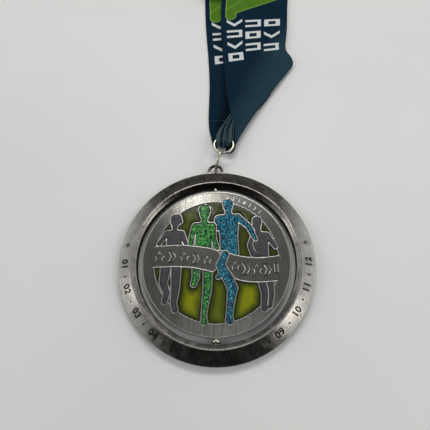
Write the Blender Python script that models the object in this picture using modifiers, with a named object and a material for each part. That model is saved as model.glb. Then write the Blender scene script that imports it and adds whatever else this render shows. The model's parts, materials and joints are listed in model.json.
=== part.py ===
"""A sports finisher medal on its neck ribbon, lying face up on a table.

A heavy ring with a hanging lug carries a round disc that spins on two pins. The disc is a
stained-glass plate: translucent enamel panes and coloured runner figures sit between metal walls.
A link ring and a ribbon ring join the lug to a satin neck ribbon. Metres, +Z up out of the face,
+Y from the medal towards the ribbon. The origin is below the middle of the whole object's box.
"""

import math

import bmesh
import bpy
import numpy as np
from mathutils import Matrix, Vector

MM = 0.001

# Ring
RING_R = 51.0 * MM
RING_EDGE = 1.6 * MM
RING_T = 6.4 * MM
CREST_R = 43.6 * MM
CREST_LAND = 1.2 * MM
OPENING_R = 41.2 * MM
OPENING_WALL = 4.0 * MM
Z_MID = RING_T / 2

# Lug and its half-round hole
LUG_R = 4.6 * MM
LUG_CENTRE_Y = 52.2 * MM
LUG_FLARE = 6.0 * MM
LUG_T = 2.0 * MM
LUG_HOLE_R = 2.8 * MM
LUG_HOLE_Y = 52.6 * MM
LUG_HOLE_FLOOR_Y = 51.3 * MM

# Spinning disc
DISC_R = 38.6 * MM
DISC_FIELD_T = 2.5 * MM
DISC_RIM_T = 3.0 * MM
DISC_RIM_WIDTH = 0.6 * MM
WINDOW_R = 32.0 * MM
PANE_T = 2.0 * MM
FILL_T = 0.55 * MM
FILL_RECESS = 0.25 * MM
WALL = 0.55 * MM
ENAMEL_GAP = 0.06 * MM
SMALLEST_PANE = 1.2 * MM * MM

# Pivot pins, along the disc's Y axis
PIN_R = 0.7 * MM
PIN_PLAY = 0.1 * MM
PIN_IN_DISC = 2.6 * MM
PIN_IN_RING = 1.4 * MM
UPPER_BEAD_R = 1.3 * MM
LOWER_KNUCKLE_R = 2.2 * MM
KNUCKLE_CLEARANCE = 0.3 * MM

# Rings between the lug and the ribbon
WIRE_R = 0.65 * MM
LINK_R = 6.5 * MM
LINK_YAW = math.radians(-14)
LINK_LEAN = math.radians(8)
RIBBON_RING_R = 5.6 * MM
RIBBON_RING_YAW = math.radians(-20)
RING_PLAY = 0.2 * MM

# Ribbon
RIBBON_T = 1.0 * MM
RIBBON_LAYER_GAP = 0.6 * MM
LOOP_WIDTH = 7.0 * MM
LOOP_T = 1.3 * MM
LOOP_HALF_OPENING = 2.2 * MM
LOOP_REACH = 4.3 * MM
LOOP_LENGTH = 11.0 * MM
LOOP_TAIL = 14.6 * MM
LAYER_CLEARANCE = 0.3 * MM
RIBBON_RIGHT = 55.5 * MM
RIBBON_LEFT = -7.8 * MM
STACK_START = 207.0 * MM
STACK_DEPTH = 54.0 * MM
STACK_HEIGHT = 12.0 * MM

# The medal's centre, from the box of the whole object
MEDAL_X = (RING_R - RIBBON_RIGHT) / 2
MEDAL_Y = (RING_R - STACK_START - STACK_DEPTH) / 2

ROUND = 96
GRID_STEP = 0.45 * MM
OUTLINE_TOLERANCE = 0.05 * MM
LIMB_BLEND = 1.0 * MM

# Runner figures on the disc, in millimetres from its centre: each limb is a chain of (x, y, radius)
LEFT_RUNNER = [
    [(-21.7, 22.4, 2.7), (-21.9, 20.4, 2.3)],
    [(-20.3, 23.6, 1.3), (-18.9, 20.6, 0.8)],
    [(-22.0, 19.0, 1.1), (-22.2, 15.5, 1.3)],
    [(-25.3, 13.8, 1.7), (-18.8, 13.8, 1.7)],
    [(-22.1, 11.5, 3.7), (-22.0, 2.0, 4.2)],
    [(-26.0, 14.0, 1.4), (-30.2, 8.2, 0.9)],
    [(-18.2, 13.8, 1.4), (-15.9, 8.4, 1.0)],
    [(-25.6, -2.0, 2.6), (-26.6, -12.5, 1.9), (-24.6, -17.2, 1.4), (-25.6, -21.6, 1.2)],
    [(-20.4, -2.0, 2.5), (-20.4, -15.0, 1.9), (-21.0, -22.0, 1.3), (-20.2, -25.4, 1.4)],
]
GREEN_RUNNER = [
    [(-6.0, 27.4, 3.1), (-6.0, 25.2, 2.6)],
    [(-6.0, 23.5, 1.5), (-6.1, 19.5, 1.6)],
    [(-10.5, 18.0, 1.8), (-2.0, 18.0, 1.8)],
    [(-6.3, 15.8, 4.2), (-6.5, 11.0, 3.8), (-6.5, 2.0, 4.4)],
    [(-11.2, 17.8, 1.5), (-12.7, 12.8, 1.3), (-13.2, 7.6, 1.1)],
    [(-1.5, 17.8, 1.5), (-1.3, 11.5, 1.3), (0.5, 5.6, 1.1)],
    [(-10.2, -2.0, 1.9), (-10.2, -9.5, 1.7), (-11.3, -13.2, 1.3)],
    [(-4.0, -2.0, 2.3), (-4.4, -16.0, 1.9), (-5.4, -23.5, 1.3), (-6.0, -28.5, 1.1), (-5.8, -31.0, 1.6)],
]
BLUE_RUNNER = [
    [(6.8, 31.2, 2.8), (6.8, 29.4, 2.5)],
    [(6.9, 28.0, 1.5), (6.9, 23.5, 1.7)],
    [(1.9, 22.2, 1.9), (11.6, 22.6, 1.9)],
    [(6.8, 18.4, 5.2), (6.9, 12.5, 4.5), (7.2, 2.0, 4.5)],
    [(1.2, 21.6, 1.6), (0.4, 16.5, 1.3)],
    [(12.2, 22.4, 1.7), (17.8, 17.2, 1.4), (20.8, 10.2, 1.0)],
]
BLUE_LEG = [
    [(5.0, 2.4, 1.6), (2.4, -3.6, 2.0), (6.2, -10.5, 2.4), (8.2, -15.0, 2.2)],
    [(8.2, -15.0, 2.2), (7.0, -23.5, 1.5), (6.4, -28.5, 1.4), (6.5, -30.6, 1.8)],
    [(3.6, -6.8, 1.1), (1.2, -9.6, 1.0)],
]
RIGHT_RUNNER = [
    [(22.2, 20.4, 2.5), (22.0, 17.8, 2.1)],
    [(22.3, 16.0, 1.2), (22.8, 13.0, 1.3)],
    [(20.8, 12.0, 1.7), (26.6, 12.0, 1.8)],
    [(23.6, 9.5, 3.8), (23.2, 5.0, 3.8), (23.0, -4.0, 4.2)],
    [(19.9, 11.6, 1.3), (17.9, 6.8, 1.2), (19.3, 2.0, 1.2)],
    [(27.2, 11.4, 1.4), (29.3, 8.7, 1.2), (31.0, 5.8, 1.0)],
    [(22.5, -8.0, 2.0), (24.2, -18.5, 1.6), (23.4, -25.2, 1.4)],
    [(26.6, -8.0, 1.9), (27.0, -18.5, 1.5), (25.8, -23.6, 1.4)],
]

# The waving finish banner crosses the figures in two lengths, torn apart at the blue leg. Each
# length is a smooth upper edge, a torn end and a smooth lower edge.
BANNER_LEFT = (
    [(-34, 6.4), (-22, 7.2), (-10.8, 6.4), (-3.4, 5.2), (1.4, 3.6)],
    [(3.0, -2.2)],
    [(-1.6, -6.8), (-10.6, -4.6), (-21.7, -3.8), (-34, -4.1)],
)
BANNER_RIGHT = (
    [(34, 0.9), (22.5, -0.2), (11.5, 1.0), (1.6, 4.4)],
    [(5.0, -3.1)],
    [(9.8, -10.4), (14.0, -11.6), (20.0, -12.2), (27, -12.0), (34, -11.3)],
)

# Ribbon outlines, in millimetres from the medal's centre
UNDER_STRAND = [
    (-7.8, 206), (-6.0, 164), (-3.7, 121), (-4.3, 90), (-1.8, 80),
    (10, 80), (14, 92), (28, 115), (41, 145), (42.2, 206),
]
OVER_STRAND = [
    (5.5, 206), (4.4, 175), (5.4, 143), (7.2, 115), (10, 91), (12, 74), (9.5, 64.5), (13.5, 67),
    (19.5, 82), (29.5, 96), (42.5, 115), (50.5, 127.5), (52.4, 134), (52, 140.5), (49.8, 147),
    (51, 166), (55.5, 206),
]
SEAM = [(-3.0, 88.6), (6.6, 88.2), (6.6, 89.4), (-3.0, 89.8)]


# ---------------------------------------------------------------- scene and materials

def clear_scene():
    for obj in list(bpy.data.objects):
        bpy.data.objects.remove(obj, do_unlink=True)


def new_collection(name):
    collection = bpy.data.collections.new(name)
    bpy.context.scene.collection.children.link(collection)
    return collection


def material(name, colour, roughness, metallic=0.0, transmission=0.0):
    mat = bpy.data.materials.new(name)
    mat.use_nodes = True
    shader = mat.node_tree.nodes["Principled BSDF"]
    shader.inputs["Base Color"].default_value = (*colour, 1.0)
    shader.inputs["Roughness"].default_value = roughness
    shader.inputs["Metallic"].default_value = metallic
    shader.inputs["Transmission Weight"].default_value = transmission
    mat.diffuse_color = (*colour, 1.0)
    return mat


def empty(name, location, parent=None, rotation=(0, 0, 0)):
    obj = bpy.data.objects.new(name, None)
    obj.empty_display_size = 5 * MM
    obj.location = location
    obj.rotation_euler = rotation
    obj.parent = parent
    PARTS.objects.link(obj)
    return obj


def mesh_object(name, bm, mat, parent=None, collection=None):
    mesh = bpy.data.meshes.new(name)
    bm.to_mesh(mesh)
    bm.free()
    mesh.shade_smooth()
    mesh.set_sharp_from_angle(angle=math.radians(35))
    mesh.materials.append(mat)
    obj = bpy.data.objects.new(name, mesh)
    obj.parent = parent
    (collection or PARTS).objects.link(obj)
    return obj


# ---------------------------------------------------------------- flat outlines

def chain_distance(x, y, chain):
    """Distance from each grid point to a chain of round-ended tapering strokes."""
    best = np.full(x.shape, 1.0)
    for (ax, ay, ar), (bx, by, br) in zip(chain, chain[1:]):
        ax, ay, ar, bx, by, br = (v * MM for v in (ax, ay, ar, bx, by, br))
        dx = bx - ax
        dy = by - ay
        t = np.clip(((x - ax) * dx + (y - ay) * dy) / (dx * dx + dy * dy), 0, 1)
        gap = np.hypot(x - ax - t * dx, y - ay - t * dy) - (ar + t * (br - ar))
        best = np.minimum(best, gap)
    return best


def figure_distance(x, y, limbs):
    """The limbs melt into each other where they meet."""
    total = chain_distance(x, y, limbs[0])
    for limb in limbs[1:]:
        other = chain_distance(x, y, limb)
        h = np.clip(0.5 + 0.5 * (other - total) / LIMB_BLEND, 0, 1)
        total = other + (total - other) * h - LIMB_BLEND * h * (1 - h)
    return total


def polygon_distance(x, y, points):
    """Signed distance to a closed outline, negative inside."""
    points = [(px * MM, py * MM) for px, py in points]
    best = np.full(x.shape, 1.0)
    inside = np.zeros(x.shape, bool)
    for (ax, ay), (bx, by) in zip(points, points[1:] + points[:1]):
        dx = bx - ax
        dy = by - ay
        t = np.clip(((x - ax) * dx + (y - ay) * dy) / (dx * dx + dy * dy), 0, 1)
        best = np.minimum(best, np.hypot(x - ax - t * dx, y - ay - t * dy))
        if dy:
            crosses = (ay > y) != (by > y)
            inside ^= crosses & (x < ax + dx * (y - ay) / dy)
    return np.where(inside, -best, best)


def smooth_edge(points, steps=5):
    """A Catmull-Rom curve through the points of an open edge."""
    ends = [points[0]] + list(points) + [points[-1]]
    curve = []
    for before, a, b, after in zip(ends, ends[1:], ends[2:], ends[3:]):
        for k in range(steps):
            t = k / steps
            curve.append(tuple(
                0.5 * (2 * q + (r - p) * t + (2 * p - 5 * q + 4 * r - s) * t**2
                       + (3 * q - p - 3 * r + s) * t**3)
                for p, q, r, s in zip(before, a, b, after)
            ))
    return curve + [points[-1]]


def banner_distance(x, y):
    """The two lengths of the torn banner."""
    lengths = []
    for first, torn_end, second in (BANNER_LEFT, BANNER_RIGHT):
        outline = smooth_edge(first) + torn_end + smooth_edge(second)
        lengths.append(polygon_distance(x, y, outline))
    return np.minimum(*lengths)


def artwork(x, y, gap=0.0):
    """Distance fields of every enamel area of the disc: the panes' field and the figures' fields.

    A positive gap shrinks each area, which leaves that much room to the metal around it.
    """
    banner = banner_distance(x, y)
    layers = [
        ("blue_leg", figure_distance(x, y, BLUE_LEG)),
        ("banner", banner),
        ("green", figure_distance(x, y, GREEN_RUNNER)),
        ("blue", figure_distance(x, y, BLUE_RUNNER)),
        ("left", figure_distance(x, y, LEFT_RUNNER)),
        ("right", figure_distance(x, y, RIGHT_RUNNER)),
    ]
    fields = {}
    covered = np.full(x.shape, 1.0)
    for name, field in layers:
        fields[name] = np.maximum(field, WALL - covered) + gap
        covered = np.minimum(covered, field)
    window = np.hypot(x, y) - WINDOW_R
    metal = np.minimum(covered - WALL, banner)
    fields["panes"] = np.maximum(window, -metal) + gap
    return fields


def contours(field, x, y):
    """Closed outlines where the field is zero, by marching squares."""
    links = {}

    def crossing(i0, j0, i1, j1):
        a = field[i0, j0]
        b = field[i1, j1]
        t = a / (a - b)
        point = (x[i0, j0] + t * (x[i1, j1] - x[i0, j0]), y[i0, j0] + t * (y[i1, j1] - y[i0, j0]))
        return ((i0, j0, i1, j1), point)

    places = {}
    inside = field < 0
    busy = inside[:-1, :-1].astype(int) + inside[1:, :-1] + inside[1:, 1:] + inside[:-1, 1:]
    for i, j in zip(*np.nonzero((busy > 0) & (busy < 4))):
        corners = [(i, j), (i + 1, j), (i + 1, j + 1), (i, j + 1)]
        enter = []
        leave = []
        for (p, q), (r, s) in zip(corners, corners[1:] + corners[:1]):
            if inside[p, q] == inside[r, s]:
                continue
            low, high = sorted([(p, q), (r, s)])
            key, point = crossing(*low, *high)
            places[key] = point
            (enter if inside[r, s] else leave).append(key)
        if len(enter) == 2 and field[i:i + 2, j:j + 2].mean() >= 0:
            leave.reverse()
        for a, b in zip(leave, enter):
            links[a] = b
    loops = []
    while links:
        start = next(iter(links))
        loop = []
        key = start
        while key in links:
            loop.append(places[key])
            key = links.pop(key)
        loops.append(loop)
    return loops


def simplified(loop, tolerance):
    """Douglas-Peucker on a closed outline."""
    points = np.array(loop)
    far = int(np.argmax(np.hypot(*(points - points[0]).T)))
    keep = {0, far}
    spans = [(0, far), (far, len(points))]
    closed = np.vstack([points, points[:1]])
    while spans:
        a, b = spans.pop()
        if b - a < 2:
            continue
        chord = closed[b] - closed[a]
        length = max(float(np.hypot(*chord)), 1e-9)
        rest = closed[a + 1:b] - closed[a]
        off = np.abs(chord[0] * rest[:, 1] - chord[1] * rest[:, 0]) / length
        worst = int(np.argmax(off))
        if off[worst] > tolerance:
            middle = a + 1 + worst
            keep.add(middle)
            spans += [(a, middle), (middle, b)]
    return [tuple(points[k]) for k in sorted(keep)]


def area(loop):
    x, y = np.array(loop).T
    return 0.5 * float(np.sum(x * np.roll(y, -1) - y * np.roll(x, -1)))


def centre_of(loop):
    x, y = np.array(loop).T
    return float(x.mean()), float(y.mean())


def islands(field, x, y, smallest):
    """The separate areas of a field, from left to right, without slivers."""
    loops = [simplified(loop, OUTLINE_TOLERANCE) for loop in contours(field, x, y)]
    loops = [loop for loop in loops if len(loop) > 3 and abs(area(loop)) > smallest]
    return sorted(loops, key=lambda loop: centre_of(loop)[0])


def plate(name, loops, bottom, top, mat, parent=None, collection=None):
    """A flat outline, with any holes, filled on both sides and given its thickness."""
    curve = bpy.data.curves.new(name, "CURVE")
    curve.dimensions = "2D"
    curve.fill_mode = "BOTH"
    curve.extrude = (top - bottom) / 2
    for loop in loops:
        spline = curve.splines.new("POLY")
        spline.points.add(len(loop) - 1)
        for point, (px, py) in zip(spline.points, loop):
            point.co = (px, py, 0, 1)
        spline.use_cyclic_u = True
    outline = bpy.data.objects.new(name + "_outline", curve)
    PARTS.objects.link(outline)
    depsgraph = bpy.context.evaluated_depsgraph_get()
    mesh = bpy.data.meshes.new_from_object(outline.evaluated_get(depsgraph))
    bpy.data.objects.remove(outline)
    bm = bmesh.new()
    bm.from_mesh(mesh)
    bpy.data.meshes.remove(mesh)
    bmesh.ops.remove_doubles(bm, verts=bm.verts, dist=0.001 * MM)
    bmesh.ops.recalc_face_normals(bm, faces=bm.faces)
    bmesh.ops.translate(bm, verts=bm.verts, vec=(0, 0, (top + bottom) / 2))
    return mesh_object(name, bm, mat, parent, collection)


# ---------------------------------------------------------------- solids

def turned(name, profile, mat, parent=None, closed=False, steps=ROUND):
    """A profile of (radius, height) turned about Z, listed down its outer side."""
    mesh = bpy.data.meshes.new(name)
    edges = [(k, k + 1) for k in range(len(profile) - 1)]
    if closed:
        edges.append((len(profile) - 1, 0))
    mesh.from_pydata([(r, 0, z) for r, z in profile], edges, [])
    mesh.materials.append(mat)
    obj = bpy.data.objects.new(name, mesh)
    obj.parent = parent
    PARTS.objects.link(obj)
    screw = obj.modifiers.new("Turn", "SCREW")
    screw.steps = steps
    screw.render_steps = steps
    screw.use_merge_vertices = True
    screw.merge_threshold = 0.001 * MM
    return obj


def torus(name, major, minor, mat, parent, segments=32, sides=10):
    bpy.ops.mesh.primitive_torus_add(
        major_radius=major, minor_radius=minor, major_segments=segments, minor_segments=sides
    )
    obj = bpy.context.object
    for collection in list(obj.users_collection):
        collection.objects.unlink(obj)
    obj.name = name
    obj.data.name = name
    obj.data.shade_smooth()
    obj.data.materials.append(mat)
    obj.parent = parent
    PARTS.objects.link(obj)
    return obj


def rod(name, radius, start, end, mat, collection=None, sides=24):
    """A round bar along Y."""
    bm = bmesh.new()
    bmesh.ops.create_cone(
        bm, cap_ends=True, segments=sides, radius1=radius, radius2=radius, depth=end - start
    )
    bmesh.ops.rotate(bm, verts=bm.verts, matrix=Matrix.Rotation(math.radians(-90), 3, "X"))
    bmesh.ops.translate(bm, verts=bm.verts, vec=(0, (start + end) / 2, 0))
    return mesh_object(name, bm, mat, None, collection)


def boolean(obj, other, operation):
    other.hide_render = True
    other.display_type = "WIRE"
    modifier = obj.modifiers.new(operation.title(), "BOOLEAN")
    modifier.operation = operation
    modifier.object = other
    modifier.solver = "EXACT"


# ---------------------------------------------------------------- sub-parts

def lug_outlines():
    """The lug's outer outline, flared into the ring, and its half-round hole."""
    root_y = 48.5 * MM
    outer = [(-LUG_FLARE, root_y), (LUG_FLARE, root_y), (LUG_FLARE, 50.6 * MM), (4.9 * MM, 51.4 * MM)]
    for k in range(17):
        angle = math.pi * k / 16
        outer.append((LUG_R * math.cos(angle), LUG_CENTRE_Y + LUG_R * math.sin(angle)))
    outer += [(-4.9 * MM, 51.4 * MM), (-LUG_FLARE, 50.6 * MM)]
    hole = [(-LUG_HOLE_R, LUG_HOLE_FLOOR_Y), (LUG_HOLE_R, LUG_HOLE_FLOOR_Y)]
    for k in range(13):
        angle = math.pi * k / 12
        hole.append((LUG_HOLE_R * math.cos(angle), LUG_HOLE_Y + LUG_HOLE_R * math.sin(angle)))
    return outer, hole


def build_ring(medal):
    """Sloping faces meet at a narrow crest on both sides; the lug stands on the upper edge."""
    half = RING_T / 2
    edge = RING_EDGE / 2
    wall = OPENING_WALL / 2
    land = CREST_LAND / 2
    profile = [
        (CREST_R - land, half), (CREST_R + land, half), (RING_R, edge), (RING_R, -edge),
        (CREST_R + land, -half), (CREST_R - land, -half), (OPENING_R, -wall), (OPENING_R, wall),
    ]
    ring = turned("ring_frame", profile, NICKEL, medal, closed=True)
    ring.location = (0, 0, Z_MID)
    outer, hole = lug_outlines()
    lug = plate("lug_tool", [outer], Z_MID - LUG_T / 2, Z_MID + LUG_T / 2, NICKEL, medal, TOOLS)
    hole_tool = plate("lug_hole_tool", [hole], -MM, RING_T + MM, NICKEL, medal, TOOLS)
    boolean(ring, lug, "UNION")
    boolean(ring, hole_tool, "DIFFERENCE")
    for name, sign in (("upper", 1), ("lower", -1)):
        inner = OPENING_R - MM
        outer_end = OPENING_R + PIN_IN_RING + PIN_PLAY
        start, end = sorted((sign * inner, sign * outer_end))
        bore = rod(name + "_ring_bore_tool", PIN_R + PIN_PLAY, start, end, NICKEL, TOOLS)
        bore.parent = medal
        bore.location = (0, 0, Z_MID)
        boolean(ring, bore, "DIFFERENCE")
    return ring


def build_pin(name, sign, head_r, head_length, medal):
    """A pin from the ring's wall into the disc's edge, with a rounded head in the gap."""
    gap_middle = (DISC_R + OPENING_R) / 2
    inner = DISC_R - PIN_IN_DISC
    outer = OPENING_R + PIN_IN_RING
    half = head_length / 2
    rounding = 0.3 * head_length
    profile = [
        (0, outer), (PIN_R, outer), (PIN_R, gap_middle + half), (head_r - rounding, gap_middle + half),
        (head_r, gap_middle + half - rounding), (head_r, gap_middle - half + rounding),
        (head_r - rounding, gap_middle - half), (PIN_R, gap_middle - half), (PIN_R, inner), (0, inner),
    ]
    pin = turned(name, profile, STEEL, medal, steps=24)
    pin.location = (0, 0, Z_MID)
    pin.rotation_euler = (math.radians(-90 * sign), 0, 0)
    return pin


def build_disc(disc):
    """The plate with its pane openings, figure pockets and pin bores."""
    rim = DISC_RIM_T / 2
    field = DISC_FIELD_T / 2
    rim_in = DISC_R - DISC_RIM_WIDTH
    chamfer = 0.2 * MM
    profile = [
        (0, field), (rim_in - chamfer, field), (rim_in, rim), (DISC_R - chamfer, rim),
        (DISC_R, rim - chamfer), (DISC_R, chamfer - rim), (DISC_R - chamfer, -rim), (rim_in, -rim),
        (rim_in - chamfer, -field), (0, -field),
    ]
    body = turned("disc_body", profile, BRUSHED, disc)
    span = np.arange(-36 * MM, 36 * MM + GRID_STEP, GRID_STEP)
    x, y = np.meshgrid(span, span, indexing="ij")
    roomy = artwork(x, y)
    snug = artwork(x, y, ENAMEL_GAP)
    openings = islands(roomy["panes"], x, y, 0)
    panes = islands(snug["panes"], x, y, SMALLEST_PANE)
    openings = [min(openings, key=lambda loop: apart(loop, pane)) for pane in panes]
    boolean(body, plate("openings_tool", openings, -MM * 3, MM * 3, BRUSHED, disc, TOOLS), "DIFFERENCE")
    for k, loop in enumerate(panes):
        side = "upper" if centre_of(loop)[1] > 0 else "lower"
        plate(f"enamel_pane_{side}_{k + 1:02d}", [loop], -PANE_T / 2, PANE_T / 2, LIME, disc)
    floor = field - FILL_RECESS - FILL_T
    pockets = []
    for label, mat in (
        ("green", GREEN), ("blue", BLUE), ("blue_leg", BLUE), ("left", GREY), ("right", GREY),
    ):
        pockets += islands(roomy[label], x, y, SMALLEST_PANE)
        for k, loop in enumerate(islands(snug[label], x, y, SMALLEST_PANE)):
            name = f"enamel_{label}_runner_{k + 1}"
            plate(name, [loop], floor + ENAMEL_GAP, field - FILL_RECESS, mat, disc)
    pocket_tool = plate("pockets_tool", pockets, floor, field + MM, BRUSHED, disc, TOOLS)
    boolean(body, pocket_tool, "DIFFERENCE")
    for name, sign in (("upper", 1), ("lower", -1)):
        start, end = sorted((sign * (DISC_R - PIN_IN_DISC - PIN_PLAY), sign * (DISC_R + MM)))
        bore = rod(name + "_disc_bore_tool", PIN_R + PIN_PLAY, start, end, BRUSHED, TOOLS)
        bore.parent = disc
        boolean(body, bore, "DIFFERENCE")
    return body


def apart(one, other):
    """How far the middles of two outlines are from each other."""
    return math.dist(centre_of(one), centre_of(other))


def build_rings(medal):
    """The link ring hangs round the lug's arch, and the ribbon ring hooks its far end."""
    arch_r = (LUG_R + LUG_HOLE_R) / 2
    arch_half = math.hypot(LUG_T / 2, (LUG_CENTRE_Y + LUG_R - LUG_HOLE_Y - LUG_HOLE_R) / 2)
    offset = LINK_R - WIRE_R - arch_half - 0.1 * MM
    centre_z = LINK_R * math.cos(LINK_LEAN) + WIRE_R + 0.05 * MM
    height = (centre_z - Z_MID) / math.cos(LINK_LEAN)
    along = math.sqrt(offset**2 - height**2)
    direction = Vector((-math.sin(LINK_YAW), math.cos(LINK_YAW), 0))
    arch = Vector((0, (LUG_CENTRE_Y + LUG_HOLE_Y) / 2, Z_MID)) + direction * arch_r
    turn = Matrix.Rotation(LINK_YAW, 3, "Z") @ Matrix.Rotation(math.radians(90) + LINK_LEAN, 3, "Y")
    up = direction.cross(turn.col[2]) * -1
    link_centre = arch + direction * along + up * height
    link_hinge = empty("link_hinge", arch, medal)
    link = torus("link_ring", LINK_R, WIRE_R, STEEL, link_hinge, segments=40)
    link.location = link_centre - arch
    link.rotation_euler = turn.to_euler()
    south = link_centre + direction * (LINK_R - 2 * WIRE_R - RING_PLAY)
    pull = Vector((-math.sin(RIBBON_RING_YAW), math.cos(RIBBON_RING_YAW), 0))
    ribbon_ring_hinge = empty("ribbon_ring_hinge", south, medal)
    ribbon_ring = torus("ribbon_ring", RIBBON_RING_R, WIRE_R, STEEL, ribbon_ring_hinge, segments=40)
    ribbon_ring.location = pull * RIBBON_RING_R
    return south + pull * RIBBON_RING_R


def scaled(points):
    return [(px * MM, py * MM) for px, py in points]


def rounded_rectangle(left, right, low, high, radius, steps=5):
    corners = [
        (right - radius, high - radius, 0), (left + radius, high - radius, 90),
        (left + radius, low + radius, 180), (right - radius, low + radius, 270),
    ]
    points = []
    for cx, cy, start in corners:
        for k in range(steps + 1):
            angle = math.radians(start + 90 * k / steps)
            points.append((cx + radius * math.cos(angle), cy + radius * math.sin(angle)))
    return points


def stood_up(obj, across):
    """Turns a flat plate drawn in (y, z) so that its thickness runs along X at the given place."""
    obj.rotation_euler = (math.radians(90), 0, math.radians(90))
    obj.location = across
    return obj


def loop_outlines(height):
    """The loop's side view, (y, z) from its hinge: round the ring's wire, then down to the strands."""
    reach = LOOP_HALF_OPENING + LOOP_T
    bend_y = reach - LOOP_REACH - LOOP_T
    outer = []
    for k in range(13):
        angle = math.radians(90 + 180 * k / 12)
        outer.append((bend_y + reach * math.cos(angle), reach * math.sin(angle)))
    tail_floor = RIBBON_T + LAYER_CLEARANCE - height
    outer += [
        (0.6 * LOOP_LENGTH, -reach), (0.9 * LOOP_LENGTH, tail_floor), (LOOP_TAIL, tail_floor),
        (LOOP_TAIL, tail_floor + LOOP_T), (LOOP_LENGTH, 0), (0.6 * LOOP_LENGTH, reach),
    ]
    inner = rounded_rectangle(
        -LOOP_REACH, 0.65 * LOOP_LENGTH, -LOOP_HALF_OPENING, LOOP_HALF_OPENING, 2.0 * MM
    )
    return outer, inner


def build_ribbon(medal, ring_centre):
    """Two flat strands, the gathered loop round its ring, the seam and the folded spare length."""
    hinge_y = ring_centre.y + RIBBON_RING_R - 0.8 * MM
    hinge = empty("ribbon_hinge", (ring_centre.x, hinge_y, ring_centre.z), medal)
    outer, inner = loop_outlines(ring_centre.z)
    loop = plate("ribbon_gathered_loop", [outer, inner], -LOOP_WIDTH / 2, LOOP_WIDTH / 2, SATIN, hinge)
    stood_up(loop, (0, 0, 0))
    plate("ribbon_under_strand", [scaled(UNDER_STRAND)], 0, RIBBON_T, SATIN, medal)
    seam_floor = RIBBON_T + LAYER_CLEARANCE
    plate("ribbon_seam_stitching", [scaled(SEAM)], seam_floor, seam_floor + 0.4 * MM, THREAD, medal)
    over_floor = RIBBON_T + RIBBON_LAYER_GAP
    plate("ribbon_over_strand", [scaled(OVER_STRAND)], over_floor, over_floor + RIBBON_T, SATIN, medal)
    stack_outline = rounded_rectangle(
        STACK_START, STACK_START + STACK_DEPTH, 0, STACK_HEIGHT, STACK_HEIGHT * 0.45
    )
    half = (RIBBON_RIGHT - RIBBON_LEFT) / 2
    stack = plate("ribbon_folded_length", [stack_outline], -half, half, SATIN, medal)
    stood_up(stack, ((RIBBON_RIGHT + RIBBON_LEFT) / 2, 0, 0))


clear_scene()
PARTS = new_collection("finisher_medal")
TOOLS = new_collection("cutters")
NICKEL = material("antique_nickel", (0.22, 0.21, 0.19), 0.32, metallic=1.0)
BRUSHED = material("brushed_nickel", (0.34, 0.33, 0.31), 0.36, metallic=1.0)
STEEL = material("bright_nickel", (0.72, 0.70, 0.62), 0.16, metallic=1.0)
LIME = material("lime_enamel", (0.30, 0.36, 0.02), 0.10, transmission=0.6)
GREEN = material("green_glitter", (0.05, 0.36, 0.08), 0.35)
BLUE = material("blue_glitter", (0.03, 0.22, 0.38), 0.35)
GREY = material("grey_enamel", (0.10, 0.10, 0.11), 0.35)
SATIN = material("teal_satin", (0.02, 0.06, 0.09), 0.55)
THREAD = material("teal_thread", (0.03, 0.07, 0.10), 0.70)

MEDAL = empty("medal", (MEDAL_X, MEDAL_Y, 0))
DISC = empty("disc_axis", (0, 0, Z_MID), MEDAL)
build_ring(MEDAL)
build_disc(DISC)
GAP_LENGTH = OPENING_R - DISC_R - 2 * KNUCKLE_CLEARANCE
build_pin("upper_pivot_pin", 1, UPPER_BEAD_R, GAP_LENGTH, MEDAL)
build_pin("lower_pivot_pin", -1, LOWER_KNUCKLE_R, GAP_LENGTH, MEDAL)
RING_CENTRE = build_rings(MEDAL)
build_ribbon(MEDAL, RING_CENTRE)
bpy.context.view_layer.update()
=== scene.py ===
"""The looks of a sports finisher medal: a ring, a spinning stained-glass disc and a satin neck ribbon.

Metres, in the row frame. The ring and the disc are made about the medal's own centre, which is their
objects' origin, so their materials' object coordinates start there too.
"""

import json
from math import atan2, cos, exp, hypot, pi, radians, sin, tan

import bmesh
import bpy
import numpy as np
from mathutils import Matrix, Vector
from mathutils.bvhtree import BVHTree
from mathutils.geometry import delaunay_2d_cdt


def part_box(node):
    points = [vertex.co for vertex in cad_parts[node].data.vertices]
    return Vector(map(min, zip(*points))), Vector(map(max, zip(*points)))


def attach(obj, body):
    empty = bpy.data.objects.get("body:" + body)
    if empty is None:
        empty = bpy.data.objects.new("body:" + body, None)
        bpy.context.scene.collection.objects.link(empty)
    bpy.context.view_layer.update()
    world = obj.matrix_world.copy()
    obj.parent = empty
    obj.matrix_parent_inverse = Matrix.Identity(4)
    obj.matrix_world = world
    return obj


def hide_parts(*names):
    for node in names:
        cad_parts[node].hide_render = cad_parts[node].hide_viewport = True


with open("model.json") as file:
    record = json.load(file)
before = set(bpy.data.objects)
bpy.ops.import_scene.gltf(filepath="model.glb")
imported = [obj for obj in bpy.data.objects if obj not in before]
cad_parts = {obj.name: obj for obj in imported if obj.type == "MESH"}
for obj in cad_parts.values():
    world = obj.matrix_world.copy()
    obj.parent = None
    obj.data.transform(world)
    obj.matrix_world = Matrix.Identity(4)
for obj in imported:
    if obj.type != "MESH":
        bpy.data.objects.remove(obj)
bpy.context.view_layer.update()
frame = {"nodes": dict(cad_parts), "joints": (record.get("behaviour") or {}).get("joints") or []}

MM = 0.001
RING_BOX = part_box("ring_frame")
Z_MID = (RING_BOX[0].z + RING_BOX[1].z) / 2
MEDAL = Vector(((RING_BOX[0].x + RING_BOX[1].x) / 2, -0.105, 0))

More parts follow.
